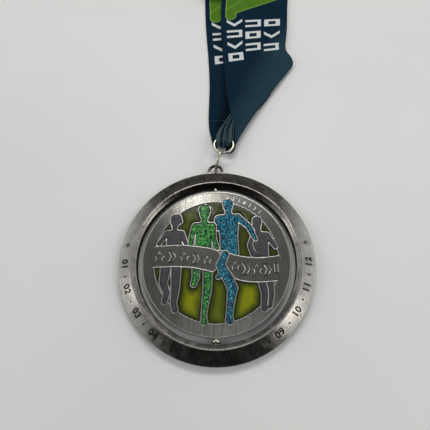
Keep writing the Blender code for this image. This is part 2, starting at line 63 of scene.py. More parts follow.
# Ring and lug; from here on, in millimetres
RING_R = 51.0
RING_EDGE = 0.8
RING_HALF = 3.2
CREST_R = 43.6
OPENING_R = 41.2
OPENING_WALL = 2.0
LUG_R = 4.6
LUG_CENTRE_Y = 52.2
LUG_HOLE_R = 2.8
LUG_HOLE_Y = 52.6
LUG_HOLE_FLOOR_Y = 51.3

# Disc
DISC_R = 38.6
FIELD = 1.25
RIM_HALF = 1.5
RIM_WIDTH = 0.75
RIM_MARKS_R = 35.1
WINDOW_R = 32.0
POCKET_FLOOR = 0.35
WALL = 0.55
RIDGE = 0.46
GRID_STEP = 0.16
LIMB_BLEND = 1.0
FAR = 1000.0

LEFT_RUNNER = [
    [(-21.7, 22.4, 2.7), (-21.9, 20.4, 2.3)],
    [(-20.3, 23.6, 1.3), (-18.9, 20.6, 0.8)],
    [(-22, 19, 1.1), (-22.2, 15.5, 1.3)],
    [(-25.3, 13.8, 1.7), (-18.8, 13.8, 1.7)],
    [(-22.1, 11.5, 3.7), (-22, 2, 4.2)],
    [(-26, 14, 1.4), (-30.2, 8.2, 0.9)],
    [(-18.2, 13.8, 1.4), (-15.9, 8.4, 1)],
    [(-25.6, -2, 2.6), (-26.6, -12.5, 1.9), (-24.6, -17.2, 1.4), (-25.6, -21.6, 1.2)],
    [(-20.4, -2, 2.5), (-20.4, -15, 1.9), (-21, -22, 1.3), (-20.2, -25.4, 1.4)],
]
GREEN_RUNNER = [
    [(-6, 27.4, 3.1), (-6, 25.2, 2.6)],
    [(-6, 23.5, 1.5), (-6.1, 19.5, 1.6)],
    [(-10.5, 18, 1.8), (-2, 18, 1.8)],
    [(-6.3, 15.8, 4.2), (-6.5, 11, 3.8), (-6.5, 2, 4.4)],
    [(-11.2, 17.8, 1.5), (-12.7, 12.8, 1.3), (-13.2, 7.6, 1.1)],
    [(-1.5, 17.8, 1.5), (-1.3, 11.5, 1.3), (0.5, 5.6, 1.1)],
    [(-10.2, -2, 1.9), (-10.2, -9.5, 1.7), (-11.3, -13.2, 1.3)],
    [(-4, -2, 2.3), (-4.4, -16, 1.9), (-5.4, -23.5, 1.3), (-6, -28.5, 1.1), (-5.8, -31, 1.6)],
]
BLUE_RUNNER = [
    [(6.8, 31.2, 2.8), (6.8, 29.4, 2.5)],
    [(6.9, 28, 1.5), (6.9, 23.5, 1.7)],
    [(1.9, 22.2, 1.9), (11.6, 22.6, 1.9)],
    [(6.8, 18.4, 5.2), (6.9, 12.5, 4.5), (7.2, 2, 4.5)],
    [(1.2, 21.6, 1.6), (0.4, 16.5, 1.3)],
    [(12.2, 22.4, 1.7), (17.8, 17.2, 1.4), (20.8, 10.2, 1)],
]
BLUE_LEG = [
    [(5, 2.4, 1.6), (2.4, -3.6, 2), (6.2, -10.5, 2.4), (8.2, -15, 2.2)],
    [(8.2, -15, 2.2), (7, -23.5, 1.5), (6.4, -28.5, 1.4), (6.5, -30.6, 1.8)],
    [(3.6, -6.8, 1.1), (1.2, -9.6, 1)],
]
RIGHT_RUNNER = [
    [(22.2, 20.4, 2.5), (22, 17.8, 2.1)],
    [(22.3, 16, 1.2), (22.8, 13, 1.3)],
    [(20.8, 12, 1.7), (26.6, 12, 1.8)],
    [(23.6, 9.5, 3.8), (23.2, 5, 3.8), (23, -4, 4.2)],
    [(19.9, 11.6, 1.3), (17.9, 6.8, 1.2), (19.3, 2, 1.2)],
    [(27.2, 11.4, 1.4), (29.3, 8.7, 1.2), (31, 5.8, 1)],
    [(22.5, -8, 2), (24.2, -18.5, 1.6), (23.4, -25.2, 1.4)],
    [(26.6, -8, 1.9), (27, -18.5, 1.5), (25.8, -23.6, 1.4)],
]
BANNER_LEFT = (
    [(-34, 6.4), (-22, 7.2), (-10.8, 6.4), (-3.4, 5.2), (1.4, 3.6)],
    [(3, -2.2)],
    [(-1.6, -6.8), (-10.6, -4.6), (-21.7, -3.8), (-34, -4.1)],
)
BANNER_RIGHT = (
    [(34, 0.9), (22.5, -0.2), (11.5, 1), (1.6, 4.4)],
    [(5, -3.1)],
    [(9.8, -10.4), (14, -11.6), (20, -12.2), (27, -12), (34, -11.3)],
)

# Each figure's fill, by the slot of its enamel
FIGURES = {
    "blue_leg": "blue_glitter", "green": "green_glitter", "blue": "blue_glitter",
    "left": "grey_enamel", "right": "grey_enamel",
}

# Pins and wire rings
PIN_R = 0.7
WIRE_R = 0.65
LINK_R = 6.5
RIBBON_RING_R = 5.6

# Ribbon
RIBBON_WIDTH = 50.0
CLOTH_T = 0.42
# The printed rows tilt below PRINT_TOP, fully so from PRINT_FADE further down
PRINT_TOP = 182.0
PRINT_FADE = 42.0
PRINT_SKEW = 0.11
STACK_FRONT = 208.6
STACK_BACK = 259.4
STACK_RUNS = 9
STACK_FIRST_Z = 2.1
STACK_PITCH = 1.12


# ---- node helpers

def with_settings(item, **settings):
    for key, value in settings.items():
        setattr(item, key, value)
    return item


def operator(kind, swapped=False):
    """A Python operator that adds one math node."""
    return lambda self, *others: self.math(kind, *others, swapped=swapped)


class Signal:
    """An output of a node. Arithmetic on it adds math nodes."""

    def __init__(self, recipe, socket):
        self.recipe = recipe
        self.socket = socket

    __add__ = operator("ADD")
    __radd__ = operator("ADD", True)
    __sub__ = operator("SUBTRACT")
    __rsub__ = operator("SUBTRACT", True)
    __mul__ = operator("MULTIPLY")
    __truediv__ = operator("DIVIDE")
    __abs__ = operator("ABSOLUTE")
    __lt__ = operator("LESS_THAN")
    __gt__ = operator("GREATER_THAN")
    most = operator("MAXIMUM")

    def math(self, kind, *others, swapped=False):
        values = (*others, self) if swapped else (self, *others)
        return self.recipe.node("Math", dict(enumerate(values)), operation=kind)

    def part(self, key):
        """Another output of the same node."""
        return Signal(self.recipe, self.socket.node.outputs[key])

    def span(self, low, high, to_low=0.0, to_high=1.0, **settings):
        return self.recipe.node("MapRange", {
            "Value": self, "From Min": low, "From Max": high, "To Min": to_low, "To Max": to_high,
        }, **settings)

    def blend(self, low, high, a, b):
        """From colour a to colour b as the value goes from low to high."""
        return self.recipe.mix(self.span(low, high), a, b)


class Recipe:
    """A new material's or world's node tree, with short calls for the nodes that it uses."""

    def __init__(self, name, owners=bpy.data.materials, shader="Principled BSDF", **values):
        self.owner = owners.new(name)
        self.owner.use_nodes = True
        self.tree = self.owner.node_tree
        self.shader = self.tree.nodes[shader]
        self.put(**values)

    def put(self, **values):
        """Set the shader's inputs, with _ for each space in a name."""
        for key, value in values.items():
            self.set(self.shader.inputs[key.replace("_", " ")], value)

    def set(self, socket, value):
        if isinstance(value, Signal):
            self.tree.links.new(value.socket, socket)
        else:
            socket.default_value = value

    def node(self, kind, inputs=(), **settings):
        node = with_settings(self.tree.nodes.new("ShaderNode" + kind), **settings)
        for key, value in dict(inputs).items():
            self.set(node.inputs[key], value)
        return Signal(self, node.outputs[0])

    def mix(self, factor, a, b):
        a, b = (value if isinstance(value, Signal) else (*value, 1.0) for value in (a, b))
        return self.node("Mix", {0: factor, 6: a, 7: b}, data_type="RGBA").part(2)

    def place(self, scale=(1, 1, 1)):
        coordinates = self.node("TexCoord").part("Object")
        return self.node("Mapping", {"Vector": coordinates, "Scale": scale})

    def noise(self, scale, detail, at=(1, 1, 1)):
        """Noise at a vector, or at the object's coordinates times a scale."""
        vector = at if isinstance(at, Signal) else self.place(at)
        return self.node("TexNoise", {"Vector": vector, "Scale": scale, "Detail": detail})

    def value(self, name):
        return self.node("Attribute", attribute_name=name).part("Fac")

    def bump(self, height, distance, strength=1.0):
        """The last step of a material, which it returns."""
        inputs = {"Height": height, "Distance": distance, "Strength": strength}
        self.put(Normal=self.node("Bump", inputs))
        return self.owner


# ---- materials

def antique_nickel():
    """Dark plated metal with a cloudy patina, brushed along Y, rubbed bright with a painted highlight where
    edge is 1, near black where it is -1, mostly painted shade.
    """
    r = Recipe("antique_nickel_plate", Metallic=1.0)
    cloud = r.noise(260, 5)
    streak = r.noise(5200, 2, (1, 0.05, 0.4))
    edge = r.value("edge")
    patina = cloud.blend(0.35, 0.68, (0.135, 0.125, 0.110), (0.235, 0.222, 0.200))
    brushed = r.mix(streak.span(0.40, 0.75, 0, 0.5), patina, (0.36, 0.345, 0.315))
    # Rubbed plating on the crest and outer edge, partly a painted highlight.
    rubbed_and_highlit = edge.blend(0.0, 1.0, brushed, (0.66, 0.645, 0.60))
    r.put(
        # Near black where edge is below 0: painted shade on the north bevel and crest; the lug and
        # mid-thickness are darker too.
        Base_Color=r.mix(edge.span(-1.0, 0.0, 1.0, 0.0), rubbed_and_highlit, (0.020, 0.017, 0.014)),
        Roughness=cloud.span(0.3, 0.7, 0.15, 0.25) + streak.span(0.3, 0.8, 0.0, 0.06),
    )
    return r.bump(streak + cloud * 0.5, 0.00002, 0.55)


def grained(name, scale, detail, low, dark, light, bump, **values):
    """A matt material of two shades, with a fine grain."""
    r = Recipe(name, **values)
    grain = r.noise(scale, detail)
    r.put(Base_Color=grain.blend(low, 0.7, dark, light))
    return r.bump(grain, *bump)


def brushed_nickel(name, dark, light, rough):
    """Nickel brushed from top to bottom."""
    r = Recipe(name, Metallic=1.0)
    tone = r.noise(6400, 2, (1, 0.022, 1)) * 0.55 + r.noise(620, 3, (1, 0.10, 1)) * 0.45
    base = tone.blend(0.34, 0.66, dark, light)
    r.put(
        Base_Color=r.mix(r.noise(120, 3).span(0.35, 0.7, 0.0, 0.25), base, dark),
        Roughness=tone.span(0.3, 0.7, rough + 0.05, rough - 0.05),
    )
    return r.bump(tone, 0.00003, 0.5)


def bright_nickel():
    r = Recipe("bright_nickel_wire", Metallic=1.0)
    cloud = r.noise(700, 3)
    r.put(
        Base_Color=cloud.blend(0.35, 0.7, (0.33, 0.305, 0.235), (0.56, 0.535, 0.45)),
        Roughness=cloud.span(0.3, 0.7, 0.10, 0.20),
    )
    return r.bump(r.noise(3800, 2), 0.00001, 0.4)


def lime_enamel():
    """Translucent enamel with painted light: dark olive painted shade beside its walls, and a painted glow
    as from the lit table below, low down and to the sides.
    """
    r = Recipe(
        "lime_enamel_glass", Roughness=0.20, Transmission_Weight=0.18, IOR=1.45, Specular_IOR_Level=0.18,
    )
    deep = r.value("depth")
    swirl = r.noise(190, 4, (1, 0.45, 1))
    middle = deep.span(0.0, 5.0) + swirl.span(0.35, 0.7, -0.16, 0.16)
    spot = r.node("SeparateXYZ", {"Vector": r.place()})
    # Painted light: brighter lower down and to the sides, as if lit from the table below.
    lit = spot.part(1).span(-0.002, -0.016, 0.22, 1.0) * abs(spot).span(0.004, 0.010, 0.42, 1.0)
    # Painted shade: dark olive beside the walls, where depth is small.
    olive = deep.blend(0.0, 0.9, (0.008, 0.013, 0.002), (0.038, 0.056, 0.005))
    bright = r.mix(lit, (0.055, 0.078, 0.007), (0.262, 0.292, 0.003))
    r.put(Base_Color=middle.blend(0.12, 0.80, olive, bright))
    return r.bump(swirl, 0.00006, 0.25)


def glitter(name, deep, mid, light):
    """Clear enamel full of small flakes, each tilted its own way."""
    r = Recipe(name, Specular_IOR_Level=0.30, Coat_Weight=0.25, Coat_Roughness=0.12)
    flakes = r.node("TexVoronoi", {"Vector": r.place(), "Scale": 2300.0, "Randomness": 1.0}).part("Color")
    parts = r.node("SeparateColor", {"Color": flakes})
    shade = parts.blend(0.62, 0.95, parts.blend(0.10, 0.55, deep, mid), light)
    # Painted shade: the colour darkens towards deep * 0.35 within 0.7 mm of the walls.
    edge = r.value("depth").span(0.0, 0.7)
    r.put(
        Base_Color=r.mix(edge, tuple(v * 0.35 for v in deep), shade),
        Metallic=parts.part(1).span(0.30, 0.9, 0.0, 0.85),
        Roughness=parts.part(2).span(0.0, 1.0, 0.20, 0.45),
    )
    tilt = r.node("VectorMath", {0: flakes, 1: (-0.5, -0.5, -0.5)}, operation="ADD")
    return r.bump(r.node("VectorMath", {0: tilt, 1: r.place()}, operation="DOT_PRODUCT").part("Value"), 0.9)


def grey_enamel():
    r = Recipe("grey_enamel_fill", Roughness=0.38, Specular_IOR_Level=0.28)
    speck = r.noise(3600, 2)
    body = r.noise(420, 4).blend(0.35, 0.7, (0.036, 0.037, 0.042), (0.062, 0.063, 0.070))
    body = r.mix(speck.span(0.5, 0.8, 0.0, 0.3), body, (0.16, 0.16, 0.17))
    # Painted shade: darker within 0.8 mm of the walls.
    r.put(Base_Color=r.value("depth").blend(0.0, 0.8, (0.025, 0.025, 0.029), body))
    return r.bump(speck, 0.00004, 0.5)


def mark_cells(off, height, top, pitch, kinds):
    """White block marks down one column: chevrons, bars and open blocks."""
    cell = (top - height) / pitch
    index = cell.math("FLOOR")
    place = (cell.math("FRACT") - 0.5) * pitch
    side = abs(off)
    upright = abs(place)
    stem = (abs(off - 4.6) < 1.25) * (upright < 3.7)
    shapes = {
        "chevron": abs(place + (side - 3.0) * 0.8) < 1.45,
        "bars": (abs(upright - 2.7) < 1.05).most(stem),
        "block": abs((side * 0.64).most(upright) - 2.75) < 1.0,
    }
    inks = [index.math("COMPARE", float(k), 0.1) * shapes[kind] for k, kind in enumerate(kinds)]
    return sum(inks[1:], inks[0]) * (side < 5.9)


def printed_marks(across, height):
    """Three columns of generic block marks, read down the ribbon."""
    one, two, three = [
        mark_cells(across - centre, height, top, pitch, kinds) for centre, top, pitch, kinds in (
            (10.4, 183.0, 11.3, ("chevron", "bars", "chevron", "block")),
            (24.6, 182.0, 12.3, ("bars", "block", "bars")),
            (38.8, 182.0, 13.2, ("block", "chevron", "bars")),
        )
    ]
    return one.most(two).most(three)


def printed_wave(across, height):
    """How far inside the broad green wave a point is, in millimetres."""
    side = abs(across - 7.6)
    below = (185.0 - height).most(0.0)
    foot = 4.1 - (side * side + below * below).math("SQRT")
    crest = (height - 187.6 - (across - 11.8) * 0.42) / 1.085
    return foot.most(crest.math("MINIMUM", across - 3.5))


def satin():
    """Dark teal satin with fine cross ribs, printed with a green wave and white marks.

    face is 0 on the under strand, 1 on the over strand and 2 in the gather.
    """
    plain_specular = 0.03
    warp_pitch, weft_pitch = 0.34, 0.42
    r = Recipe("teal_satin_weave", Specular_IOR_Level=plain_specular)
    uv = r.node("SeparateXYZ", {"Vector": r.node("TexCoord").part("UV")})
    across = uv * 1000.0
    along = uv.part(1) * 1000.0
    height = r.value("design")
    face = r.value("face")
    warp = (across * (2 * pi / warp_pitch)).math("SINE")
    weft = (along * (2 * pi / weft_pitch)).math("SINE")
    thread = r.noise(1.7, 3, r.node("CombineXYZ", {"X": across, "Y": along * 0.06, "Z": 0.0}))
    cloud = r.noise(45, 3)
    base = thread.blend(0.3, 0.7, (0.0020, 0.0135, 0.0290), (0.0046, 0.0215, 0.0410))
    base = r.mix(cloud.span(0.4, 0.7, 0.0, 0.30), base, (0.0075, 0.0270, 0.0450))
    selvage = abs(across - RIBBON_WIDTH / 2) > RIBBON_WIDTH / 2 - 0.7
    base = r.mix(selvage, base, (0.0045, 0.0150, 0.0240))
    # Painted sheen: a lighter teal band across the over strand's lower right.
    sheen = (across - height * 0.6).span(-60.0, -42.0) * face.span(0.0, 1.0)
    base = r.mix(sheen * cloud.span(0.3, 0.7, 0.75, 1.0), base, (0.0200, 0.0500, 0.0680))
    # Painted shadow of the over strand on the under strand beside it.
    shade = across.span(7.0, 14.0) * face.span(0.6, 0.0) * height.span(152.0, 140.0)
    base = r.mix(shade * 0.75, base, (0.0010, 0.0050, 0.0120))
    white = printed_marks(across, height) * thread.span(0.2, 0.6, 0.88, 0.97)
    base = r.mix(white, base, (0.70, 0.73, 0.72))
    depth = printed_wave(across, height)
    vein = abs(height - 188.0 - across * 0.9) < 0.35
    tone = thread.blend(0.3, 0.7, (0.060, 0.165, 0.012), (0.100, 0.235, 0.020))
    tone = r.mix(vein, tone, (0.20, 0.38, 0.07))
    tone = r.mix(depth > 0.5, (0.26, 0.45, 0.10), tone)
    gathered = face.span(1.0, 2.0)
    r.put(
        Base_Color=r.mix(depth > 0.0, base, tone),
        Specular_IOR_Level=plain_specular + gathered * 0.40,
        Roughness=thread.span(0.3, 0.7, 0.42, 0.58) - gathered * 0.10,
    )
    return r.bump(warp * 0.5 + weft * weft, 0.00005, 0.45)


# ---- flat artwork, in millimetres

def to_segment(x, y, a, b):
    """Each grid point's share of the way along a segment, and its distance from it."""
    dx = b[0] - a[0]
    dy = b[1] - a[1]
    t = np.clip(((x - a[0]) * dx + (y - a[1]) * dy) / (dx * dx + dy * dy), 0, 1)
    return t, np.hypot(x - a[0] - t * dx, y - a[1] - t * dy)


def chain_distance(x, y, chain):
    """Distance from each grid point to a chain of round-ended tapering strokes."""
    best = np.full(x.shape, FAR)
    for a, b in zip(chain, chain[1:]):
        t, gap = to_segment(x, y, a, b)
        best = np.minimum(best, gap - (a[2] + t * (b[2] - a[2])))
    return best


def figure_distance(x, y, limbs):
    """The limbs melt into each other where they meet."""
    total = chain_distance(x, y, limbs[0])
    for limb in limbs[1:]:
        other = chain_distance(x, y, limb)
        h = np.clip(0.5 + 0.5 * (other - total) / LIMB_BLEND, 0, 1)
        total = other + (total - other) * h - LIMB_BLEND * h * (1 - h)
    return total


def inside_loops(loops, x, y):
    """Even-odd test of points against closed outlines."""
    inside = np.zeros(x.shape, bool)
    for loop in loops:
        for (ax, ay), (bx, by) in zip(loop, loop[1:] + loop[:1]):
            if by != ay:
                inside ^= ((ay > y) != (by > y)) & (x < ax + (bx - ax) * (y - ay) / (by - ay))
    return inside


def polygon_distance(x, y, points):
    """Signed distance to a closed outline, negative inside."""
    sides = zip(points, points[1:] + points[:1])
    best = np.minimum.reduce([to_segment(x, y, a, b)[1] for a, b in sides])
    return np.where(inside_loops([points], x, y), -best, best)


def smooth_edge(points, steps=5):
    """A Catmull-Rom curve through the points of an open edge."""
    ends = [points[0]] + list(points) + [points[-1]]
    curve = []
    for before, a, b, after in zip(ends, ends[1:], ends[2:], ends[3:]):
        for k in range(steps):
            t = k / steps
            curve.append(tuple(
                0.5 * (2 * q + (r - p) * t + (2 * p - 5 * q + 4 * r - s) * t**2
                       + (3 * q - p - 3 * r + s) * t**3)
                for p, q, r, s in zip(before, a, b, after)
            ))
    return curve + [points[-1]]


def artwork(x, y):
    """Distance fields of the enamel areas of the disc, and of the banner between them."""
    outlines = [
        smooth_edge(first, 8) + torn_end + smooth_edge(second, 8)
        for first, torn_end, second in (BANNER_LEFT, BANNER_RIGHT)
    ]
    banner = np.minimum(*[polygon_distance(x, y, outline) for outline in outlines])
    layers = [
        ("blue_leg", figure_distance(x, y, BLUE_LEG)),
        ("banner", banner),
        ("green", figure_distance(x, y, GREEN_RUNNER)),
        ("blue", figure_distance(x, y, BLUE_RUNNER)),
        ("left", figure_distance(x, y, LEFT_RUNNER)),
        ("right", figure_distance(x, y, RIGHT_RUNNER)),
    ]
    fields = {}
    covered = np.full(x.shape, FAR)
    for name, field in layers:
        fields[name] = np.maximum(field, WALL - covered)
        covered = np.minimum(covered, field)
    metal = np.minimum(covered - WALL, banner)
    fields["panes"] = np.maximum(np.hypot(x, y) - WINDOW_R, -metal)
    return fields


def contours(field, x, y):
    """Closed outlines where the field is zero, by marching squares."""
    links = {}
    places = {}
    inside = field < 0
    busy = inside[:-1, :-1].astype(int) + inside[1:, :-1] + inside[1:, 1:] + inside[:-1, 1:]
    for i, j in zip(*np.nonzero((busy > 0) & (busy < 4))):
        corners = [(i, j), (i + 1, j), (i + 1, j + 1), (i, j + 1)]
        enter = []
        leave = []
        for one, two in zip(corners, corners[1:] + corners[:1]):
            if inside[one] == inside[two]:
                continue
            low, high = sorted([one, two])
            t = field[low] / (field[low] - field[high])
            places[low + high] = (
                x[low] + t * (x[high] - x[low]), y[low] + t * (y[high] - y[low]),
            )
            (enter if inside[two] else leave).append(low + high)
        if len(enter) == 2 and field[i:i + 2, j:j + 2].mean() >= 0:
            leave.reverse()
        for a, b in zip(leave, enter):
            links[a] = b
    loops = []
    while links:
        key = next(iter(links))
        loop = []
        while key in links:
            loop.append(places[key])
            key = links.pop(key)
        loops.append(loop)
    return loops


def simplified(loop, tolerance):
    """Douglas-Peucker on a closed outline."""
    points = np.array(loop)
    far = int(np.argmax(np.hypot(*(points - points[0]).T)))
    keep = {0, far}
    spans = [(0, far), (far, len(points))]
    closed = np.vstack([points, points[:1]])
    while spans:
        a, b = spans.pop()
        if b - a < 2:
            continue
        chord = closed[b] - closed[a]
        rest = closed[a + 1:b] - closed[a]
        off = np.abs(chord[0] * rest[:, 1] - chord[1] * rest[:, 0]) / max(float(np.hypot(*chord)), 1e-6)
        worst = int(np.argmax(off))
        if off[worst] > tolerance:
            keep.add(a + 1 + worst)
            spans += [(a, a + 1 + worst), (a + 1 + worst, b)]
    return [tuple(points[k]) for k in sorted(keep)]


def area(loop):
    x, y = np.array(loop).T
    return 0.5 * float(np.sum(x * np.roll(y, -1) - y * np.roll(x, -1)))


def outlines_of(field, x, y, smallest=0.05, tolerance=0.006):
    loops = [simplified(loop, tolerance) for loop in contours(field, x, y)]
    return [loop for loop in loops if len(loop) > 3 and abs(area(loop)) > smallest]


# ---- meshes, in millimetres about the medal's centre

def outward(bm):
    bmesh.ops.recalc_face_normals(bm, faces=bm.faces)
    return bm


def mesh_of(name, bm):
    """The bmesh as a new mesh; the bmesh is freed."""
    mesh = bpy.data.meshes.new(name)
    bm.to_mesh(mesh)
    bm.free()
    return mesh


def placed(name, data):
    obj = bpy.data.objects.new(name, data)
    bpy.context.scene.collection.objects.link(obj)
    return obj


def final_mesh(obj):
    """The object's mesh with its modifiers applied; the object itself is removed."""
    graph = bpy.context.evaluated_depsgraph_get()
    mesh = bpy.data.meshes.new_from_object(obj.evaluated_get(graph))
    bpy.data.objects.remove(obj)
    return mesh


def evaluated(obj):
    """The final mesh of an object, or of a curve or text, welded."""
    mesh = final_mesh(obj if isinstance(obj, bpy.types.Object) else placed("working_copy", obj))
    bm = bmesh.new()
    bm.from_mesh(mesh)
    bpy.data.meshes.remove(mesh)
    bmesh.ops.remove_doubles(bm, verts=bm.verts, dist=0.0005)
    return outward(bm)


def inward(loops, loop):
    """Directions from an outline's points into the solid, longer at sharp corners."""
    points = np.array(loop)
    ahead = np.roll(points, -1, 0) - points
    k = int(np.argmax(np.hypot(*ahead.T)))
    ahead /= np.maximum(np.hypot(*ahead.T), 1e-9)[:, None]
    both = ahead + np.roll(ahead, 1, 0)
    normal = np.stack([-both[:, 1], both[:, 0]], 1)
    length = np.maximum(np.hypot(*normal.T), 1e-6)
    normal *= (np.minimum(2 / length, 1.6) / length)[:, None]
    probe = (points[k] + points[(k + 1) % len(points)]) / 2
    probe = probe + 0.002 * np.array([-ahead[k, 1], ahead[k, 0]])
    solid = inside_loops(loops, probe[:1], probe[1:])[0]
    return normal if solid else -normal


def slab(loops, bottom, top, soft=0.0, segments=1):
    """A flat outline, with any holes, given its thickness and rounded edges."""
    flat = [Vector(p) for loop in loops for p in loop]
    edges = []
    for loop in loops:
        first = len(edges)
        edges += [(first + k, first + (k + 1) % len(loop)) for k in range(len(loop))]
    inset = np.concatenate([inward(loops, loop) if soft else np.zeros((len(loop), 2)) for loop in loops])
    places, _, faces, origins, _, _ = delaunay_2d_cdt(flat, edges, [], 0, 1e-7)
    middles = np.array(places)[np.array(faces)].mean(1)
    keep = inside_loops(loops, middles[:, 0], middles[:, 1])
    owner = [o[0] if o else -1 for o in origins]
    base = np.array(flat)
    turns = [pi / 2 * (1 - k / segments) for k in range(segments + 1)]
    curve = [(soft * (1 - cos(a)), soft * (1 - sin(a))) for a in turns] if soft else [(0.0, 0.0)]
    levels = [(off, bottom + rise) for off, rise in curve]
    levels += [(off, top - rise) for off, rise in reversed(curve)]
    bm = bmesh.new()
    rows = [[bm.verts.new((px, py, z)) for px, py in base + inset * off] for off, z in levels]
    extra = [{}, {}]
    for face, used in zip(faces, keep):
        if not used:
            continue
        for cap, z in ((0, bottom), (-1, top)):
            corner = []
            for k in face:
                if owner[k] >= 0:
                    corner.append(rows[cap][owner[k]])
                else:
                    if k not in extra[cap]:
                        extra[cap][k] = bm.verts.new((*places[k], z))
                    corner.append(extra[cap][k])
            if len(set(corner)) == 3:
                bm.faces.new(corner if cap else corner[::-1])
    for low, high in zip(rows, rows[1:]):
        for a, b in edges:
            bm.faces.new((low[a], low[b], high[b], high[a]))
    bmesh.ops.remove_doubles(bm, verts=bm.verts, dist=1e-6)
    return outward(bm)


def wires(paths, radius, sides=2):
    """Round wires along open or closed 3-D paths: each is (points, closed)."""
    curve = with_settings(
        bpy.data.curves.new("wires", "CURVE"), dimensions="3D", bevel_depth=radius, bevel_resolution=sides,
        use_fill_caps=True,
    )
    for points, closed in paths:
        spline = curve.splines.new("POLY")
        spline.points.add(len(points) - 1)
        for point, place in zip(spline.points, points):
            point.co = (*place, 1)
        spline.use_cyclic_u = closed
    return evaluated(curve)


def rounded(corners, steps=4):
    """A closed outline from corners (across, up, radius), each rounded off."""
    points = []
    for k, (a, b, radius) in enumerate(corners):
        here = Vector((a, b))
        before = Vector(corners[k - 1][:2]) - here
        after = Vector(corners[(k + 1) % len(corners)][:2]) - here
        back = min(radius / tan(before.angle(after) / 2), 0.45 * before.length, 0.45 * after.length)
        start = here + before.normalized() * back
        end = here + after.normalized() * back
        for j in range(steps + 1):
            t = j / steps
            points.append(tuple(start * (1 - t) ** 2 + here * 2 * t * (1 - t) + end * t * t))
    return points


def arc(radius, steps, first=0, last=None, rise=0.0):
    """Points on a circle of so many steps, from its first step to its last."""
    turns = [2 * pi * k / steps for k in range(first, last or steps)]
    return [(radius * cos(a), rise + radius * sin(a)) for a in turns]


def spun(bm, profile, steps):
    """Rings of vertices: the profile of (radius, height) at each step about Z."""
    turns = [2 * pi * k / steps for k in range(steps)]
    rings = [[bm.verts.new((r * cos(a), r * sin(a), z)) for r, z in profile] for a in turns]
    return list(zip(rings, rings[1:] + rings[:1]))


def turned(profile, steps=288):
    """A closed profile turned about Z."""
    bm = bmesh.new()
    for one, two in spun(bm, profile, steps):
        for j in range(len(profile)):
            i = (j + 1) % len(profile)
            bm.faces.new((one[j], two[j], two[i], one[i]))
    return outward(bm)


def lathed(profile, steps=48):
    """An open profile turned about Z; its first and last points are on the axis."""
    bm = bmesh.new()
    top = bm.verts.new((0, 0, profile[0][1]))
    bottom = bm.verts.new((0, 0, profile[-1][1]))
    for one, two in spun(bm, profile[1:-1], steps):
        bm.faces.new((top, one[0], two[0]))
        bm.faces.new((bottom, two[-1], one[-1]))
        for j in range(len(one) - 1):
            bm.faces.new((one[j], one[j + 1], two[j + 1], two[j]))
    return outward(bm)


def joined(parts):
    """Several meshes in one; each is a mesh, or a mesh and its matrix."""
    whole = bmesh.new()
    for part in parts:
        bm, matrix = part if isinstance(part, tuple) else (part, Matrix.Identity(4))
        bmesh.ops.transform(bm, matrix=matrix, verts=bm.verts)
        mesh = mesh_of("part", bm)
        whole.from_mesh(mesh)
        bpy.data.meshes.remove(mesh)
    return whole


def smoothed(mesh, degrees):
    mesh.shade_smooth()
    mesh.set_sharp_from_angle(angle=radians(degrees))
    return mesh


def to_mesh(name, bm, materials, degrees=32):
    """The millimetre mesh becomes a mesh in metres with its materials."""
    bmesh.ops.scale(bm, vec=(MM, MM, MM), verts=bm.verts)
    mesh = mesh_of(name, bm)
    for mat in materials:
        mesh.materials.append(mat)
    return smoothed(mesh, degrees)


def piece(name, mesh, body, nodes=(), origin=None):
    obj = placed(name, mesh)
    obj.location = MEDAL if origin is None else origin
    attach(obj, body)
    if nodes:
        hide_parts(*nodes)
    return obj


def finished(name, bm, materials, body, nodes=(), origin=None, degrees=32):
    return piece(name, to_mesh(name, bm, materials, degrees), body, nodes, origin)


def carved(bm, steps):
    """The mesh after its Boolean steps (operation, tool); each face keeps its material index."""
    obj = placed("working_copy", mesh_of("carved", bm))
    tools = []
    for operation, tool in steps:
        tools.append(placed("working_copy", mesh_of("tool", tool)))
        modifier = obj.modifiers.new(operation.title(), "BOOLEAN")
        with_settings(modifier, operation=operation, object=tools[-1], solver="EXACT")
    for owner in [obj] + tools:
        for _ in range(2):
            owner.data.materials.append(None)
    result = evaluated(obj)
    for tool in tools:
        bpy.data.objects.remove(tool)
    return result


def with_material(bm, index):
    for face in bm.faces:
        face.material_index = index
    return bm


# ---- small generic marks, drawn in a unit square

def star(inner=0.45):
    reaches = [0.5, 0.5 * inner] * 5
    turns = [pi / 2 + pi * k / 5 for k in range(10)]
    return [(reach * cos(a), reach * sin(a)) for reach, a in zip(reaches, turns)]


def chevron(stroke=0.34):
    return [(-0.34, 0.5), (-0.34 + stroke, 0.5), (0.34, 0), (-0.34 + stroke, -0.5), (-0.34, -0.5),
            (0.34 - stroke, 0)]


def bar(width):
    return [(-width / 2, -0.5), (width / 2, -0.5), (width / 2, 0.5), (-width / 2, 0.5)]


DIAMOND = [(0, -0.5), (0.42, 0), (0, 0.5), (-0.42, 0)]


def plus(w=0.11):
    return [(a * px - b * py, b * px + a * py) for a, b in ((1, 0), (0, 1), (-1, 0), (0, -1))
            for px, py in ((-w, -0.5), (w, -0.5), (w, -w))]


def sized(loop, size):
    return [(px * size, py * size) for px, py in loop]


def numeral(text, size, depth):
    """A dial number as a solid, centred on the origin."""
    font = with_settings(
        bpy.data.curves.new("numeral", "FONT"), body=text, size=size, space_character=1.12, align_x="CENTER",
        align_y="CENTER", extrude=depth, resolution_u=3, offset=0.035 * size,
    )
    return evaluated(font)


def upright(sign, place=(0, 0, 0)):
    """Turns Z to +Y or -Y, then moves it."""
    return Matrix.Translation(place) @ Matrix.Rotation(radians(-90 * sign), 4, "X")


